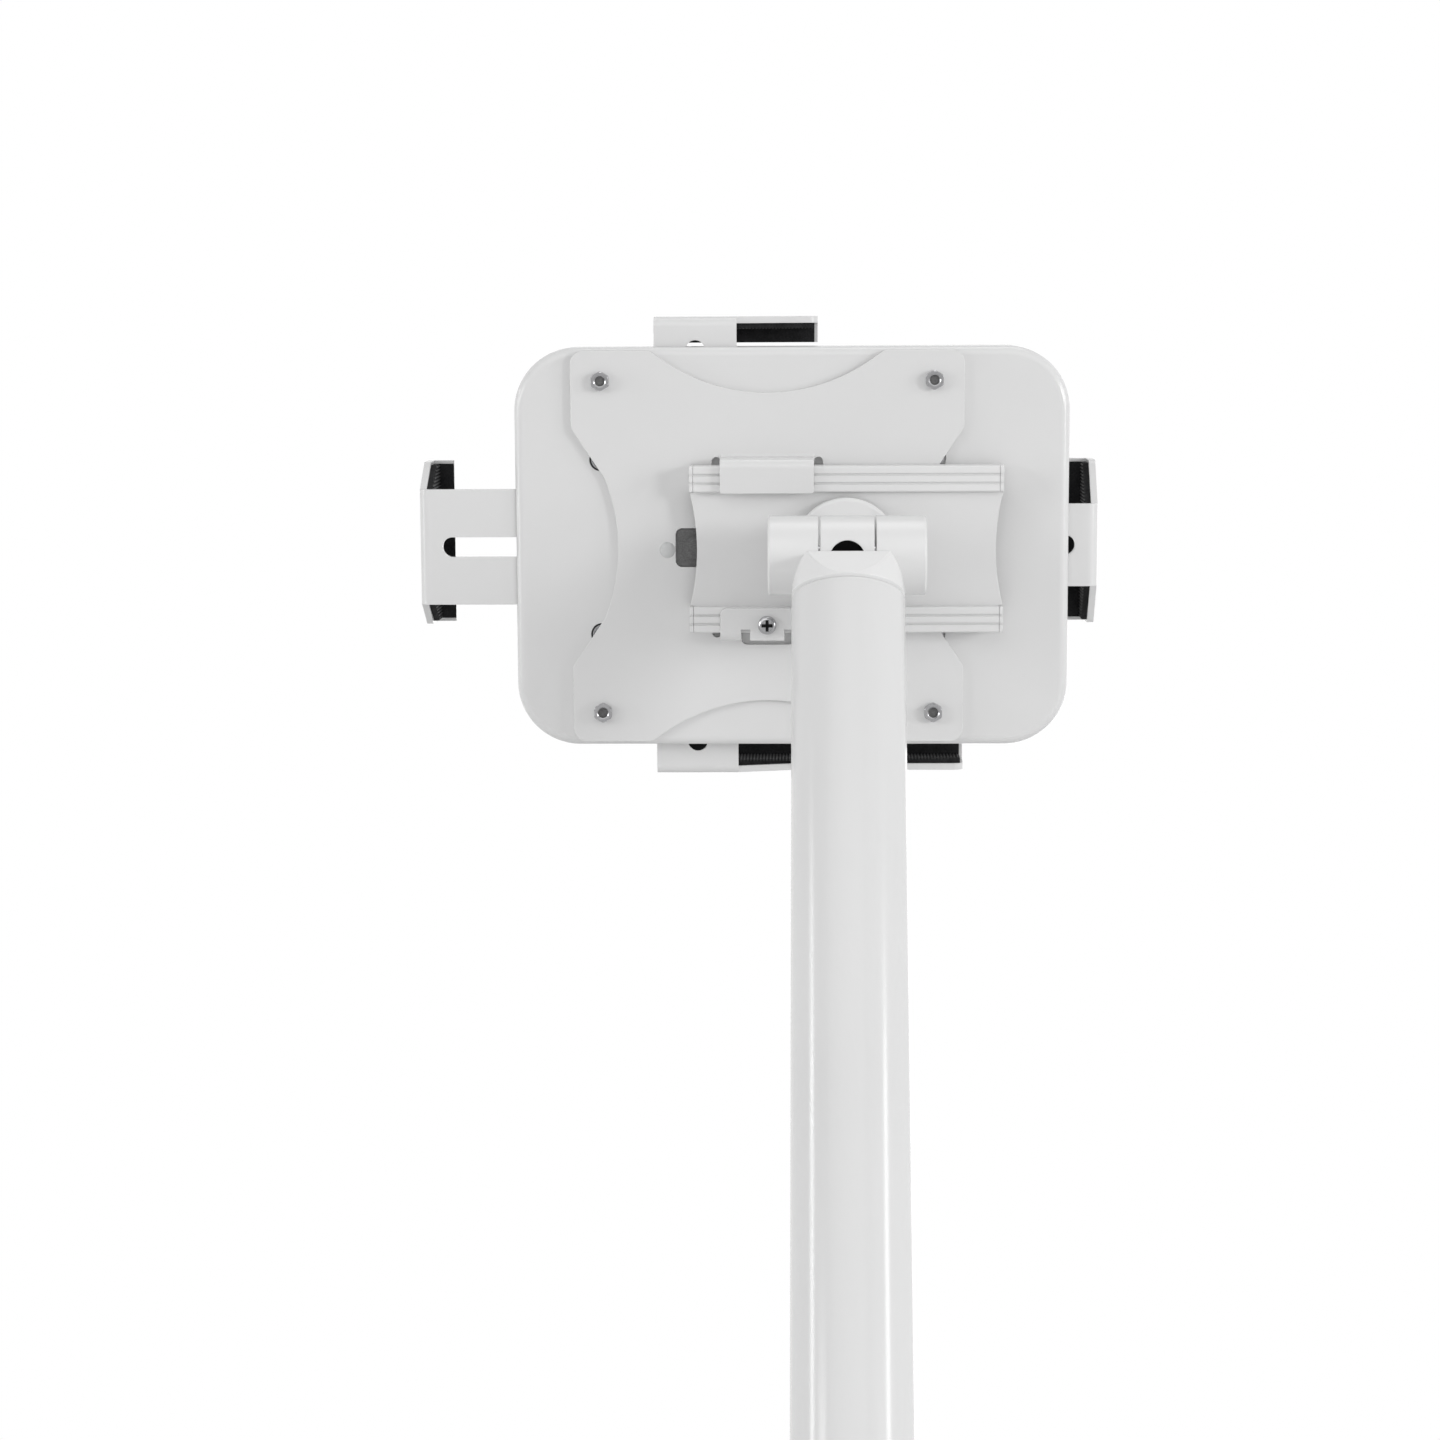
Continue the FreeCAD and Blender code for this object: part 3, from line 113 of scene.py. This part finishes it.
def vary_colour(tree, shader, noise, colour, spread):
    """Lets the colour drift a little darker and lighter with the noise."""
    ramp = tree.nodes.new("ShaderNodeValToRGB")
    ramp.color_ramp.elements[0].position = NOISE_LOW
    ramp.color_ramp.elements[1].position = NOISE_HIGH
    ramp.color_ramp.elements[0].color = (*[c * (1 - spread) for c in colour], 1.0)
    ramp.color_ramp.elements[1].color = (*[min(1.0, c * (1 + spread)) for c in colour], 1.0)
    tree.links.new(noise.outputs["Fac"], ramp.inputs["Fac"])
    tree.links.new(ramp.outputs["Color"], shader.inputs["Base Color"])


def vary_roughness(tree, shader, noise, low, high):
    """Maps the noise onto a range of roughness."""
    spread = tree.nodes.new("ShaderNodeMapRange")
    spread.inputs["From Min"].default_value = NOISE_LOW
    spread.inputs["From Max"].default_value = NOISE_HIGH
    spread.inputs["To Min"].default_value = low
    spread.inputs["To Max"].default_value = high
    tree.links.new(noise.outputs["Fac"], spread.inputs["Value"])
    tree.links.new(spread.outputs["Result"], shader.inputs["Roughness"])


def add_bump(tree, shader, height_socket, depth, strength=1.0, edge=0.0):
    """Bump of a real depth in metres, over edges softened to a small radius."""
    bump = tree.nodes.new("ShaderNodeBump")
    if edge:
        soft = tree.nodes.new("ShaderNodeBevel")
        soft.inputs["Radius"].default_value = edge
        tree.links.new(soft.outputs["Normal"], bump.inputs["Normal"])
    bump.inputs["Strength"].default_value = strength
    bump.inputs["Distance"].default_value = depth
    tree.links.new(height_socket, bump.inputs["Height"])
    tree.links.new(bump.outputs["Normal"], shader.inputs["Normal"])


def paint_edge_highlights(tree, shader, radius, colour):
    """Painted highlight: lightens the colour towards white along sharp edges, where light would catch
    them.
    """
    soft = tree.nodes.new("ShaderNodeBevel")
    soft.inputs["Radius"].default_value = radius
    form = tree.nodes.new("ShaderNodeNewGeometry")
    bend = tree.nodes.new("ShaderNodeVectorMath")
    bend.operation = "DOT_PRODUCT"
    tree.links.new(soft.outputs["Normal"], bend.inputs[0])
    tree.links.new(form.outputs["Normal"], bend.inputs[1])
    share = tree.nodes.new("ShaderNodeMapRange")
    share.inputs["From Min"].default_value = EDGE_START
    share.inputs["From Max"].default_value = EDGE_FULL
    tree.links.new(bend.outputs["Value"], share.inputs["Value"])
    mix = tree.nodes.new("ShaderNodeMixRGB")
    base = shader.inputs["Base Color"].links[0].from_socket
    tree.links.new(share.outputs["Result"], mix.inputs["Fac"])
    tree.links.new(base, mix.inputs["Color1"])
    mix.inputs["Color2"].default_value = (*colour, 1.0)
    tree.links.new(mix.outputs["Color"], shader.inputs["Base Color"])


def painted(name, colour, roughness, peel_scale, peel_depth, edge):
    """Powder coat: faint clouding, an even satin gloss, a fine orange peel, soft edges and a painted
    highlight along sharp edges.
    """
    material, tree, shader = make_material(name, colour)
    clouds = noise_node(tree, CLOUD_SCALE)
    vary_colour(tree, shader, clouds, colour, CLOUD_SPREAD)
    # Painted highlight along sharp edges
    paint_edge_highlights(tree, shader, edge, EDGE_HIGHLIGHT_WHITE)
    vary_roughness(tree, shader, clouds, roughness - GLOSS_DRIFT, roughness + GLOSS_DRIFT)
    peel = noise_node(tree, peel_scale, detail=1.0)
    add_bump(tree, shader, peel.outputs["Fac"], peel_depth, edge=edge)
    return material


def bright_zinc():
    """Plated steel, bright, with a faint mottle in its gloss."""
    material, tree, shader = make_material("bright_zinc", ZINC, metallic=1.0)
    marks = noise_node(tree, 2600.0, detail=3.0)
    vary_colour(tree, shader, marks, ZINC, 0.05)
    vary_roughness(tree, shader, marks, 0.16, 0.26)
    add_bump(tree, shader, marks.outputs["Fac"], 0.0000012)
    return material


def blackened_and_shade(name, colour, specular):
    """Dull, slightly oily dark steel from chemical blackening, also used as painted shade in deep holes
    and recesses.
    """
    material, tree, shader = make_material(name, colour, specular=specular)
    marks = noise_node(tree, 2200.0, detail=3.0)
    vary_colour(tree, shader, marks, colour, 0.3)
    vary_roughness(tree, shader, marks, 0.4, 0.55)
    add_bump(tree, shader, marks.outputs["Fac"], 0.000002)
    return material


def foam():
    """Closed-cell foam: tiny pits all over, no gloss."""
    material, tree, shader = make_material("black_foam", BLACK_FOAM, specular=0.25)
    shader.inputs["Roughness"].default_value = 0.95
    cells = tree.nodes.new("ShaderNodeTexVoronoi")
    cells.inputs["Scale"].default_value = 1400.0
    place = tree.nodes.new("ShaderNodeTexCoord")
    tree.links.new(place.outputs["Object"], cells.inputs["Vector"])
    vary_colour(tree, shader, noise_node(tree, 300.0), BLACK_FOAM, 0.3)
    add_bump(tree, shader, cells.outputs["Distance"], 0.0002)
    return material


def rubber():
    """Matte moulded rubber with a faint bloom."""
    material, tree, shader = make_material("black_rubber", BLACK_RUBBER, specular=0.4)
    clouds = noise_node(tree, 120.0, detail=4.0)
    vary_colour(tree, shader, clouds, BLACK_RUBBER, 0.25)
    vary_roughness(tree, shader, clouds, 0.55, 0.7)
    add_bump(tree, shader, noise_node(tree, 2500.0).outputs["Fac"], 0.00003)
    return material


def nylon():
    """Natural nylon washers: milky and a little waxy."""
    material, tree, shader = make_material("nylon", NYLON)
    shader.inputs["Subsurface Weight"].default_value = 0.2
    shader.inputs["Subsurface Scale"].default_value = 0.002
    clouds = noise_node(tree, 200.0)
    vary_colour(tree, shader, clouds, NYLON, 0.03)
    vary_roughness(tree, shader, clouds, 0.35, 0.5)
    return material


def clear_gel():
    """A clear soft bumper with a glossy skin, nearly unseen but for its highlights."""
    material, tree, shader = make_material("clear_gel", CLEAR)
    shader.inputs["Alpha"].default_value = 0.4
    shader.inputs["IOR"].default_value = 1.5
    material.surface_render_method = "BLENDED"
    vary_roughness(tree, shader, noise_node(tree, 400.0), 0.04, 0.09)
    return material


MATERIALS = {
    "white_steel": painted("white_steel", WHITE_STEEL, 0.18, 900.0, 0.000003, 0.0004),
    "white_cast": painted("white_cast", WHITE_CAST, 0.24, 700.0, 0.000004, 0.0006),
    "white_rail": painted("white_rail", WHITE_RAIL, 0.32, 1200.0, 0.000002, 0.0003),
    "zinc": bright_zinc(),
    "black_steel": blackened_and_shade("black_steel", BLACK_OXIDE_AND_SHADE, 0.4),
    "black_foam": foam(),
    "black_rubber": rubber(),
    "nylon": nylon(),
    "clear_gel": clear_gel(),
}


def dress_nodes():
    """Gives every carried-over piece the finish of its slot."""
    for name, node in NODES.items():
        finish = MATERIALS[SLOT_OF[name]]
        # The tension screw is coloured near black: painted shade for the deep eye it sits in
        if name == "tension_screw":
            finish = blackened_and_shade("tension_screw_shade_black", SHADE_BLACK, 0.05)
        if not node.material_slots:
            node.data.materials.append(finish)
        for slot in node.material_slots:
            slot.material = finish


def ring_mesh(name, centre, rows, shape, finishes, tone):
    """A turned piece along the head's y axis: rows are (radius, y) pairs from its foot inwards.

    shape(angle, radius) may flatten a row, as for a nut's sides; tone(row) picks its finish.
    """
    form = bmesh.new()
    loops = []
    for radius, y in rows:
        loop = []
        for i in range(RING_SIDES):
            angle = 2 * math.pi * i / RING_SIDES
            reach = shape(angle, radius)
            point = Vector((centre[0] + reach * math.cos(angle), y, centre[1] + reach * math.sin(angle)))
            loop.append(form.verts.new(HEAD @ point))
        loops.append(loop)
    for row in range(len(loops) - 1):
        low = loops[row]
        high = loops[row + 1]
        for i in range(RING_SIDES):
            j = (i + 1) % RING_SIDES
            face = form.faces.new((low[i], high[i], high[j], low[j]))
            face.material_index = tone(row)
    cap = form.faces.new(loops[-1])
    cap.material_index = tone(len(rows) - 1)
    form.normal_update()
    mesh = bpy.data.meshes.new(name)
    form.to_mesh(mesh)
    form.free()
    for finish in finishes:
        mesh.materials.append(finish)
    return mesh


def joined(name, meshes, finishes):
    """One object from several meshes that share their finishes."""
    form = bmesh.new()
    for mesh in meshes:
        form.from_mesh(mesh)
        bpy.data.meshes.remove(mesh)
    whole = bpy.data.meshes.new(name)
    form.to_mesh(whole)
    form.free()
    for finish in finishes:
        whole.materials.append(finish)
    piece = bpy.data.objects.new(name, whole)
    bpy.context.scene.collection.objects.link(piece)
    return piece


def pattern_places(half_x, half_z):
    """Four places on the holder, mirrored about its centre, in the head's x and z."""
    return [(HOLDER_X + sx * half_x, sz * half_z) for sx in (-1, 1) for sz in (-1, 1)]


def round_shape(angle, radius):
    return radius


def hex_shape(across):
    """Radius of a hexagon with these flats, but never past the row's own radius."""
    def reach(angle, radius):
        sector = (angle + math.pi / 6) % (math.pi / 3) - math.pi / 6
        return min(radius, across / 2 / math.cos(sector))
    return reach


def two_tone(bright_rows):
    """Picks the first finish for the first rows and the second for the rest."""
    return lambda row: 0 if row < bright_rows else 1


def make_nuts():
    """Hexagon nuts with turned corners and a few turns of thread in sight; the bore and threads are
    black as painted shade.
    """
    finishes = [MATERIALS["zinc"], MATERIALS["black_steel"]]
    y0 = PLATE_BACK
    y1 = y0 + NUT_T
    corner = NUT_ACROSS / 2 * NUT_TURN
    meshes = []
    for place in pattern_places(STUD_X, STUD_X):
        rows = [
            (corner, y0),
            (corner, y0 + NUT_CHAMFER),
            (corner, y1 - NUT_CHAMFER),
            (NUT_ACROSS / 2 * NUT_CROWN, y1),
            (NUT_BORE + NUT_LEAD_W, y1),
            (NUT_BORE, y1 - NUT_LEAD_DEPTH),
        ]
        depth = y1 - NUT_LEAD_DEPTH
        while depth > y1 - NUT_SIGHT:
            depth -= THREAD_PITCH / 2
            rows.append((NUT_BORE + THREAD_ROOT, depth))
            depth -= THREAD_PITCH / 2
            rows.append((NUT_BORE - THREAD_CREST, depth))
        # Rows past NUT_BRIGHT_ROWS, the bore and its threads, are black as painted shade
        tone = two_tone(NUT_BRIGHT_ROWS)
        meshes.append(ring_mesh("nut", place, rows, hex_shape(NUT_ACROSS), finishes, tone))
    nuts = joined("nut_detail", meshes, finishes)
    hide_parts("vesa_nuts")
    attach(nuts, "holder")


def make_screw_heads_and_shade_rings():
    """Bright heads on one side, with a black recess and a black ring around each head, both painted
    shade.
    """
    finishes = [MATERIALS["zinc"], MATERIALS["black_rubber"]]
    y1 = SCREW_TOP
    seat = y1 - SCREW_HEAD_T
    meshes = []
    for place in pattern_places(SCREW_X, SCREW_Z)[2:]:
        rows = [
            (SCREW_HEAD_R, seat),
            (SCREW_HEAD_R, y1 - SCREW_EDGE),
            (SCREW_HEAD_R - SCREW_EDGE, y1),
            (SCREW_BORE + BORE_EDGE, y1),
            (SCREW_BORE, y1 - BORE_EDGE),
            (SCREW_BORE, y1 - BORE_DEPTH),
        ]
        # Rows past SCREW_BRIGHT_ROWS, the recess wall and floor, are black as painted shade
        meshes.append(ring_mesh("head", place, rows, round_shape, finishes, two_tone(SCREW_BRIGHT_ROWS)))
        # Painted shade: a black ring filling the gap around the head
        ring = [
            (SHADE_RING_R, seat),
            (SHADE_RING_R, y1 - SHADE_RING_EDGE),
            (SHADE_RING_R - SHADE_RING_EDGE, y1),
            (SCREW_HEAD_R, y1 - SHADE_RING_EDGE),
            (SCREW_HEAD_R, seat),
        ]
        meshes.append(ring_mesh("shade_ring", place, ring, round_shape, finishes, two_tone(0)))
    rings = joined("cover_screw_detail", meshes, finishes)
    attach(rings, "holder")


def make_pad_ribs():
    """Fine moulded ribs on each pad's gripping face, so that it reads as ribbed rubber."""
    for name, (reach, angle, strap, half, low, high) in PADS.items():
        form = bmesh.new()
        turn = Matrix.Translation((HOLDER_X + CLAMP_X, 0, 0)) @ Matrix.Rotation(angle, 4, "Y")
        count = int((low + high) / RIB_PITCH)
        for i in range(count):
            z = -low + (i + 0.5) * (low + high) / count
            ear = low if z < 0 else high
            slope = (abs(z) - half) / (ear - half) if abs(z) > half else 0.0
            back = (strap - PAD_BACK) * (1 - slope) + EAR_BACK * slope
            middle = Vector((reach, (PAD_FRONT + back) / 2, z))
            size = Matrix.Diagonal((2 * RIB_RISE, back - PAD_FRONT, RIB_PITCH * RIB_SHARE, 1))
            bmesh.ops.create_cube(form, size=1.0, matrix=HEAD @ turn @ Matrix.Translation(middle) @ size)
        outer = [edge for edge in form.edges if abs(edge.calc_length() - 2 * RIB_RISE) > SAME_LENGTH]
        bmesh.ops.bevel(form, geom=outer, offset=RIB_EDGE, segments=1, affect="EDGES")
        mesh = bpy.data.meshes.new(name + "_pad_ribs")
        form.to_mesh(mesh)
        form.free()
        mesh.materials.append(MATERIALS["black_rubber"])
        ribs = bpy.data.objects.new(name + "_pad_ribs", mesh)
        bpy.context.scene.collection.objects.link(ribs)
        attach(ribs, name + "_grip")


def make_cross_recess_shade():
    """Painted shade: a black slab down in the lock screw's cross recess."""
    form = bmesh.new()
    for wide, tall in ((CROSS_HALF, CROSS_THICK), (CROSS_THICK, CROSS_HALF)):
        middle = Vector((HOLDER_X, CROSS_FLOOR, LOCK_Z))
        size = Matrix.Diagonal((2 * wide, CROSS_T, 2 * tall, 1))
        bmesh.ops.create_cube(form, size=1.0, matrix=HEAD @ Matrix.Translation(middle) @ size)
    mesh = bpy.data.meshes.new("lock_screw_recess_shade")
    form.to_mesh(mesh)
    form.free()
    mesh.materials.append(blackened_and_shade("recess_shade_black", SHADE_BLACK, 0.2))
    recess = bpy.data.objects.new("lock_screw_recess_shade", mesh)
    bpy.context.scene.collection.objects.link(recess)
    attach(recess, "holder")


def make_camera():
    """The photograph's camera, from its place, pitch, yaw and roll."""
    forward = Vector(
        (
            -math.sin(CAMERA_YAW) * math.cos(CAMERA_PITCH),
            -math.cos(CAMERA_YAW) * math.cos(CAMERA_PITCH),
            math.sin(CAMERA_PITCH),
        )
    )
    level_right = forward.cross(Vector((0, 0, 1))).normalized()
    level_up = level_right.cross(forward)
    right = level_right * math.cos(CAMERA_ROLL) + level_up * math.sin(CAMERA_ROLL)
    up = level_up * math.cos(CAMERA_ROLL) - level_right * math.sin(CAMERA_ROLL)
    data = bpy.data.cameras.new("camera")
    data.sensor_width = SENSOR_MM
    data.lens = SENSOR_MM * FOCAL_PX / PHOTO_PX
    data.clip_start = CLIP_START
    camera = bpy.data.objects.new("camera", data)
    turn = Matrix((right, up, -forward)).transposed().to_4x4()
    camera.matrix_world = Matrix.Translation(CAMERA_AT) @ turn
    bpy.context.scene.collection.objects.link(camera)
    bpy.context.scene.camera = camera


def make_lamp(name, place, target, width, height, watts):
    """A soft rectangular lamp, turned towards what it lights."""
    data = bpy.data.lights.new(name, "AREA")
    data.shape = "RECTANGLE"
    data.size = width
    data.size_y = height
    data.energy = watts
    lamp = bpy.data.objects.new(name, data)
    aim = (Vector(target) - Vector(place)).to_track_quat("-Z", "Y")
    lamp.matrix_world = Matrix.Translation(place) @ aim.to_matrix().to_4x4()
    bpy.context.scene.collection.objects.link(lamp)


def make_world():
    """Plain ambient light; the camera and the glossy surfaces see a white backdrop."""
    world = bpy.data.worlds.new("studio")
    bpy.context.scene.world = world
    world.use_nodes = True
    tree = world.node_tree
    ambient = tree.nodes["Background"]
    ambient.inputs["Color"].default_value = (1, 1, 1, 1)
    ambient.inputs["Strength"].default_value = AMBIENT
    backdrop = tree.nodes.new("ShaderNodeBackground")
    backdrop.inputs["Color"].default_value = (1, 1, 1, 1)
    backdrop.inputs["Strength"].default_value = 1.0
    path = tree.nodes.new("ShaderNodeLightPath")
    seen = tree.nodes.new("ShaderNodeMath")
    seen.operation = "MAXIMUM"
    also = tree.nodes.new("ShaderNodeMath")
    also.operation = "MAXIMUM"
    mix = tree.nodes.new("ShaderNodeMixShader")
    tree.links.new(path.outputs["Is Camera Ray"], seen.inputs[0])
    tree.links.new(path.outputs["Is Glossy Ray"], seen.inputs[1])
    tree.links.new(seen.outputs[0], also.inputs[0])
    tree.links.new(path.outputs["Is Transmission Ray"], also.inputs[1])
    tree.links.new(also.outputs[0], mix.inputs["Fac"])
    tree.links.new(ambient.outputs[0], mix.inputs[1])
    tree.links.new(backdrop.outputs[0], mix.inputs[2])
    tree.links.new(mix.outputs[0], tree.nodes["World Output"].inputs["Surface"])


def make_floor():
    """A plain pale floor under the rubber feet."""
    mesh = bpy.data.meshes.new("floor")
    form = bmesh.new()
    bmesh.ops.create_circle(form, cap_ends=True, segments=FLOOR_SIDES, radius=FLOOR_R)
    form.to_mesh(mesh)
    form.free()
    floor = bpy.data.objects.new("floor", mesh)
    bpy.context.scene.collection.objects.link(floor)
    material, tree, shader = make_material("floor_paint", FLOOR_GREY, specular=0.3)
    clouds = noise_node(tree, 3.0)
    vary_colour(tree, shader, clouds, FLOOR_GREY, 0.01)
    vary_roughness(tree, shader, clouds, 0.6, 0.75)
    mesh.materials.append(material)


# The head's own frame: x as the row, y from the screen towards the back, z up the screen
HINGE_AT = Vector((0.0, -0.022, 1.060))
HINGE_DEPTH = 0.0487
LEAN = math.radians(-30)
HEAD = (
    Matrix.Translation(HINGE_AT)
    @ Matrix.Rotation(LEAN, 4, "X")
    @ Matrix.Translation((0, -HINGE_DEPTH, 0))
)

# Places and sizes of the small hardware in that frame, in metres
RING_SIDES = 48
HOLDER_X = 0.0236
PLATE_BACK = 0.020
STUD_X = 0.050
NUT_ACROSS = 0.0053
NUT_TURN = 1.1
NUT_T = 0.0024
NUT_CHAMFER = 0.0004
NUT_BORE = 0.0015
NUT_CROWN = 0.98
NUT_LEAD_W = 0.00035
NUT_LEAD_DEPTH = 0.0003
NUT_SIGHT = 0.0009
NUT_BRIGHT_ROWS = 5
THREAD_PITCH = 0.0005
THREAD_ROOT = 0.00012
THREAD_CREST = 0.00005
SCREW_X = 0.0502
SCREW_Z = 0.0264
SCREW_TOP = 0.01785
SCREW_HEAD_T = 0.00075
SCREW_HEAD_R = 0.00285
SCREW_EDGE = 0.0002
SCREW_BORE = 0.0018
SCREW_BRIGHT_ROWS = 4
BORE_EDGE = 0.00015
BORE_DEPTH = 0.0006
# Black ring of painted shade around each cover screw head
SHADE_RING_R = 0.0034
SHADE_RING_EDGE = 0.0001
LOCK_Z = -0.0223
CROSS_FLOOR = 0.0338
CROSS_HALF = 0.00165
CROSS_THICK = 0.00042
CROSS_T = 0.0006

# Pads on the arms and their ribs
CLAMP_X = 0.0218
PAD_IN = 0.0035
PAD_FRONT = -0.0078
PAD_BACK = 0.0022
EAR_BACK = -0.0002
RIB_PITCH = 0.001
RIB_SHARE = 0.5
RIB_RISE = 0.0003
RIB_EDGE = 0.00012
SAME_LENGTH = 1e-6

# For each arm: gripping face from the clamp, turn, strap's depth, strap's half width,
# and the head's reach below and above the strap's middle
PADS = {
    "left": (0.1056 - CLAMP_X - PAD_IN, 0.0, 0.0141, 0.0175, 0.0238, 0.0238),
    "right": (0.0998 + CLAMP_X - PAD_IN, math.pi, 0.0117, 0.0125, 0.0238, 0.0238),
    "top": (0.0689 - PAD_IN, -math.pi / 2, 0.0093, 0.0125, 0.0113, 0.0358),
    "bottom": (0.0707 - PAD_IN, math.pi / 2, 0.0069, 0.0125, 0.0808, 0.0113),
}

# Light, kept at a plain level
AMBIENT = 0.44
FLOOR_R = 4.0
FLOOR_SIDES = 96
HEAD_AT = (0.0, 0.0, 1.08)

bpy.context.scene.view_settings.view_transform = "Standard"
dress_nodes()
make_nuts()
make_screw_heads_and_shade_rings()
make_cross_recess_shade()
make_pad_ribs()
make_camera()
make_world()
make_floor()
make_lamp("key", (-1.65, 1.35, 0.72), HEAD_AT, 0.45, 0.45, 10.4)
make_lamp("left", (1.9, 1.2, 0.9), HEAD_AT, 0.6, 0.6, 6.2)
make_lamp("top", (-0.3, 0.6, 3.0), HEAD_AT, 1.0, 1.0, 5.5)
make_lamp("softbox", (0.41, 2.57, 1.4), (0.0, 0.0, 1.4), 3.5, 1.65, 11)
make_lamp("strip_left", (1.97, 0.35, 1.1), (0.0, 0.0, 1.1), 0.28, 1.08, 7)
make_lamp("strip_right", (-1.85, 0.75, 0.98), (0.0, 0.0, 0.98), 0.28, 1.08, 7.6)
make_lamp("front", (-0.6, -2.6, 1.5), HEAD_AT, 1.5, 1.5, 8)
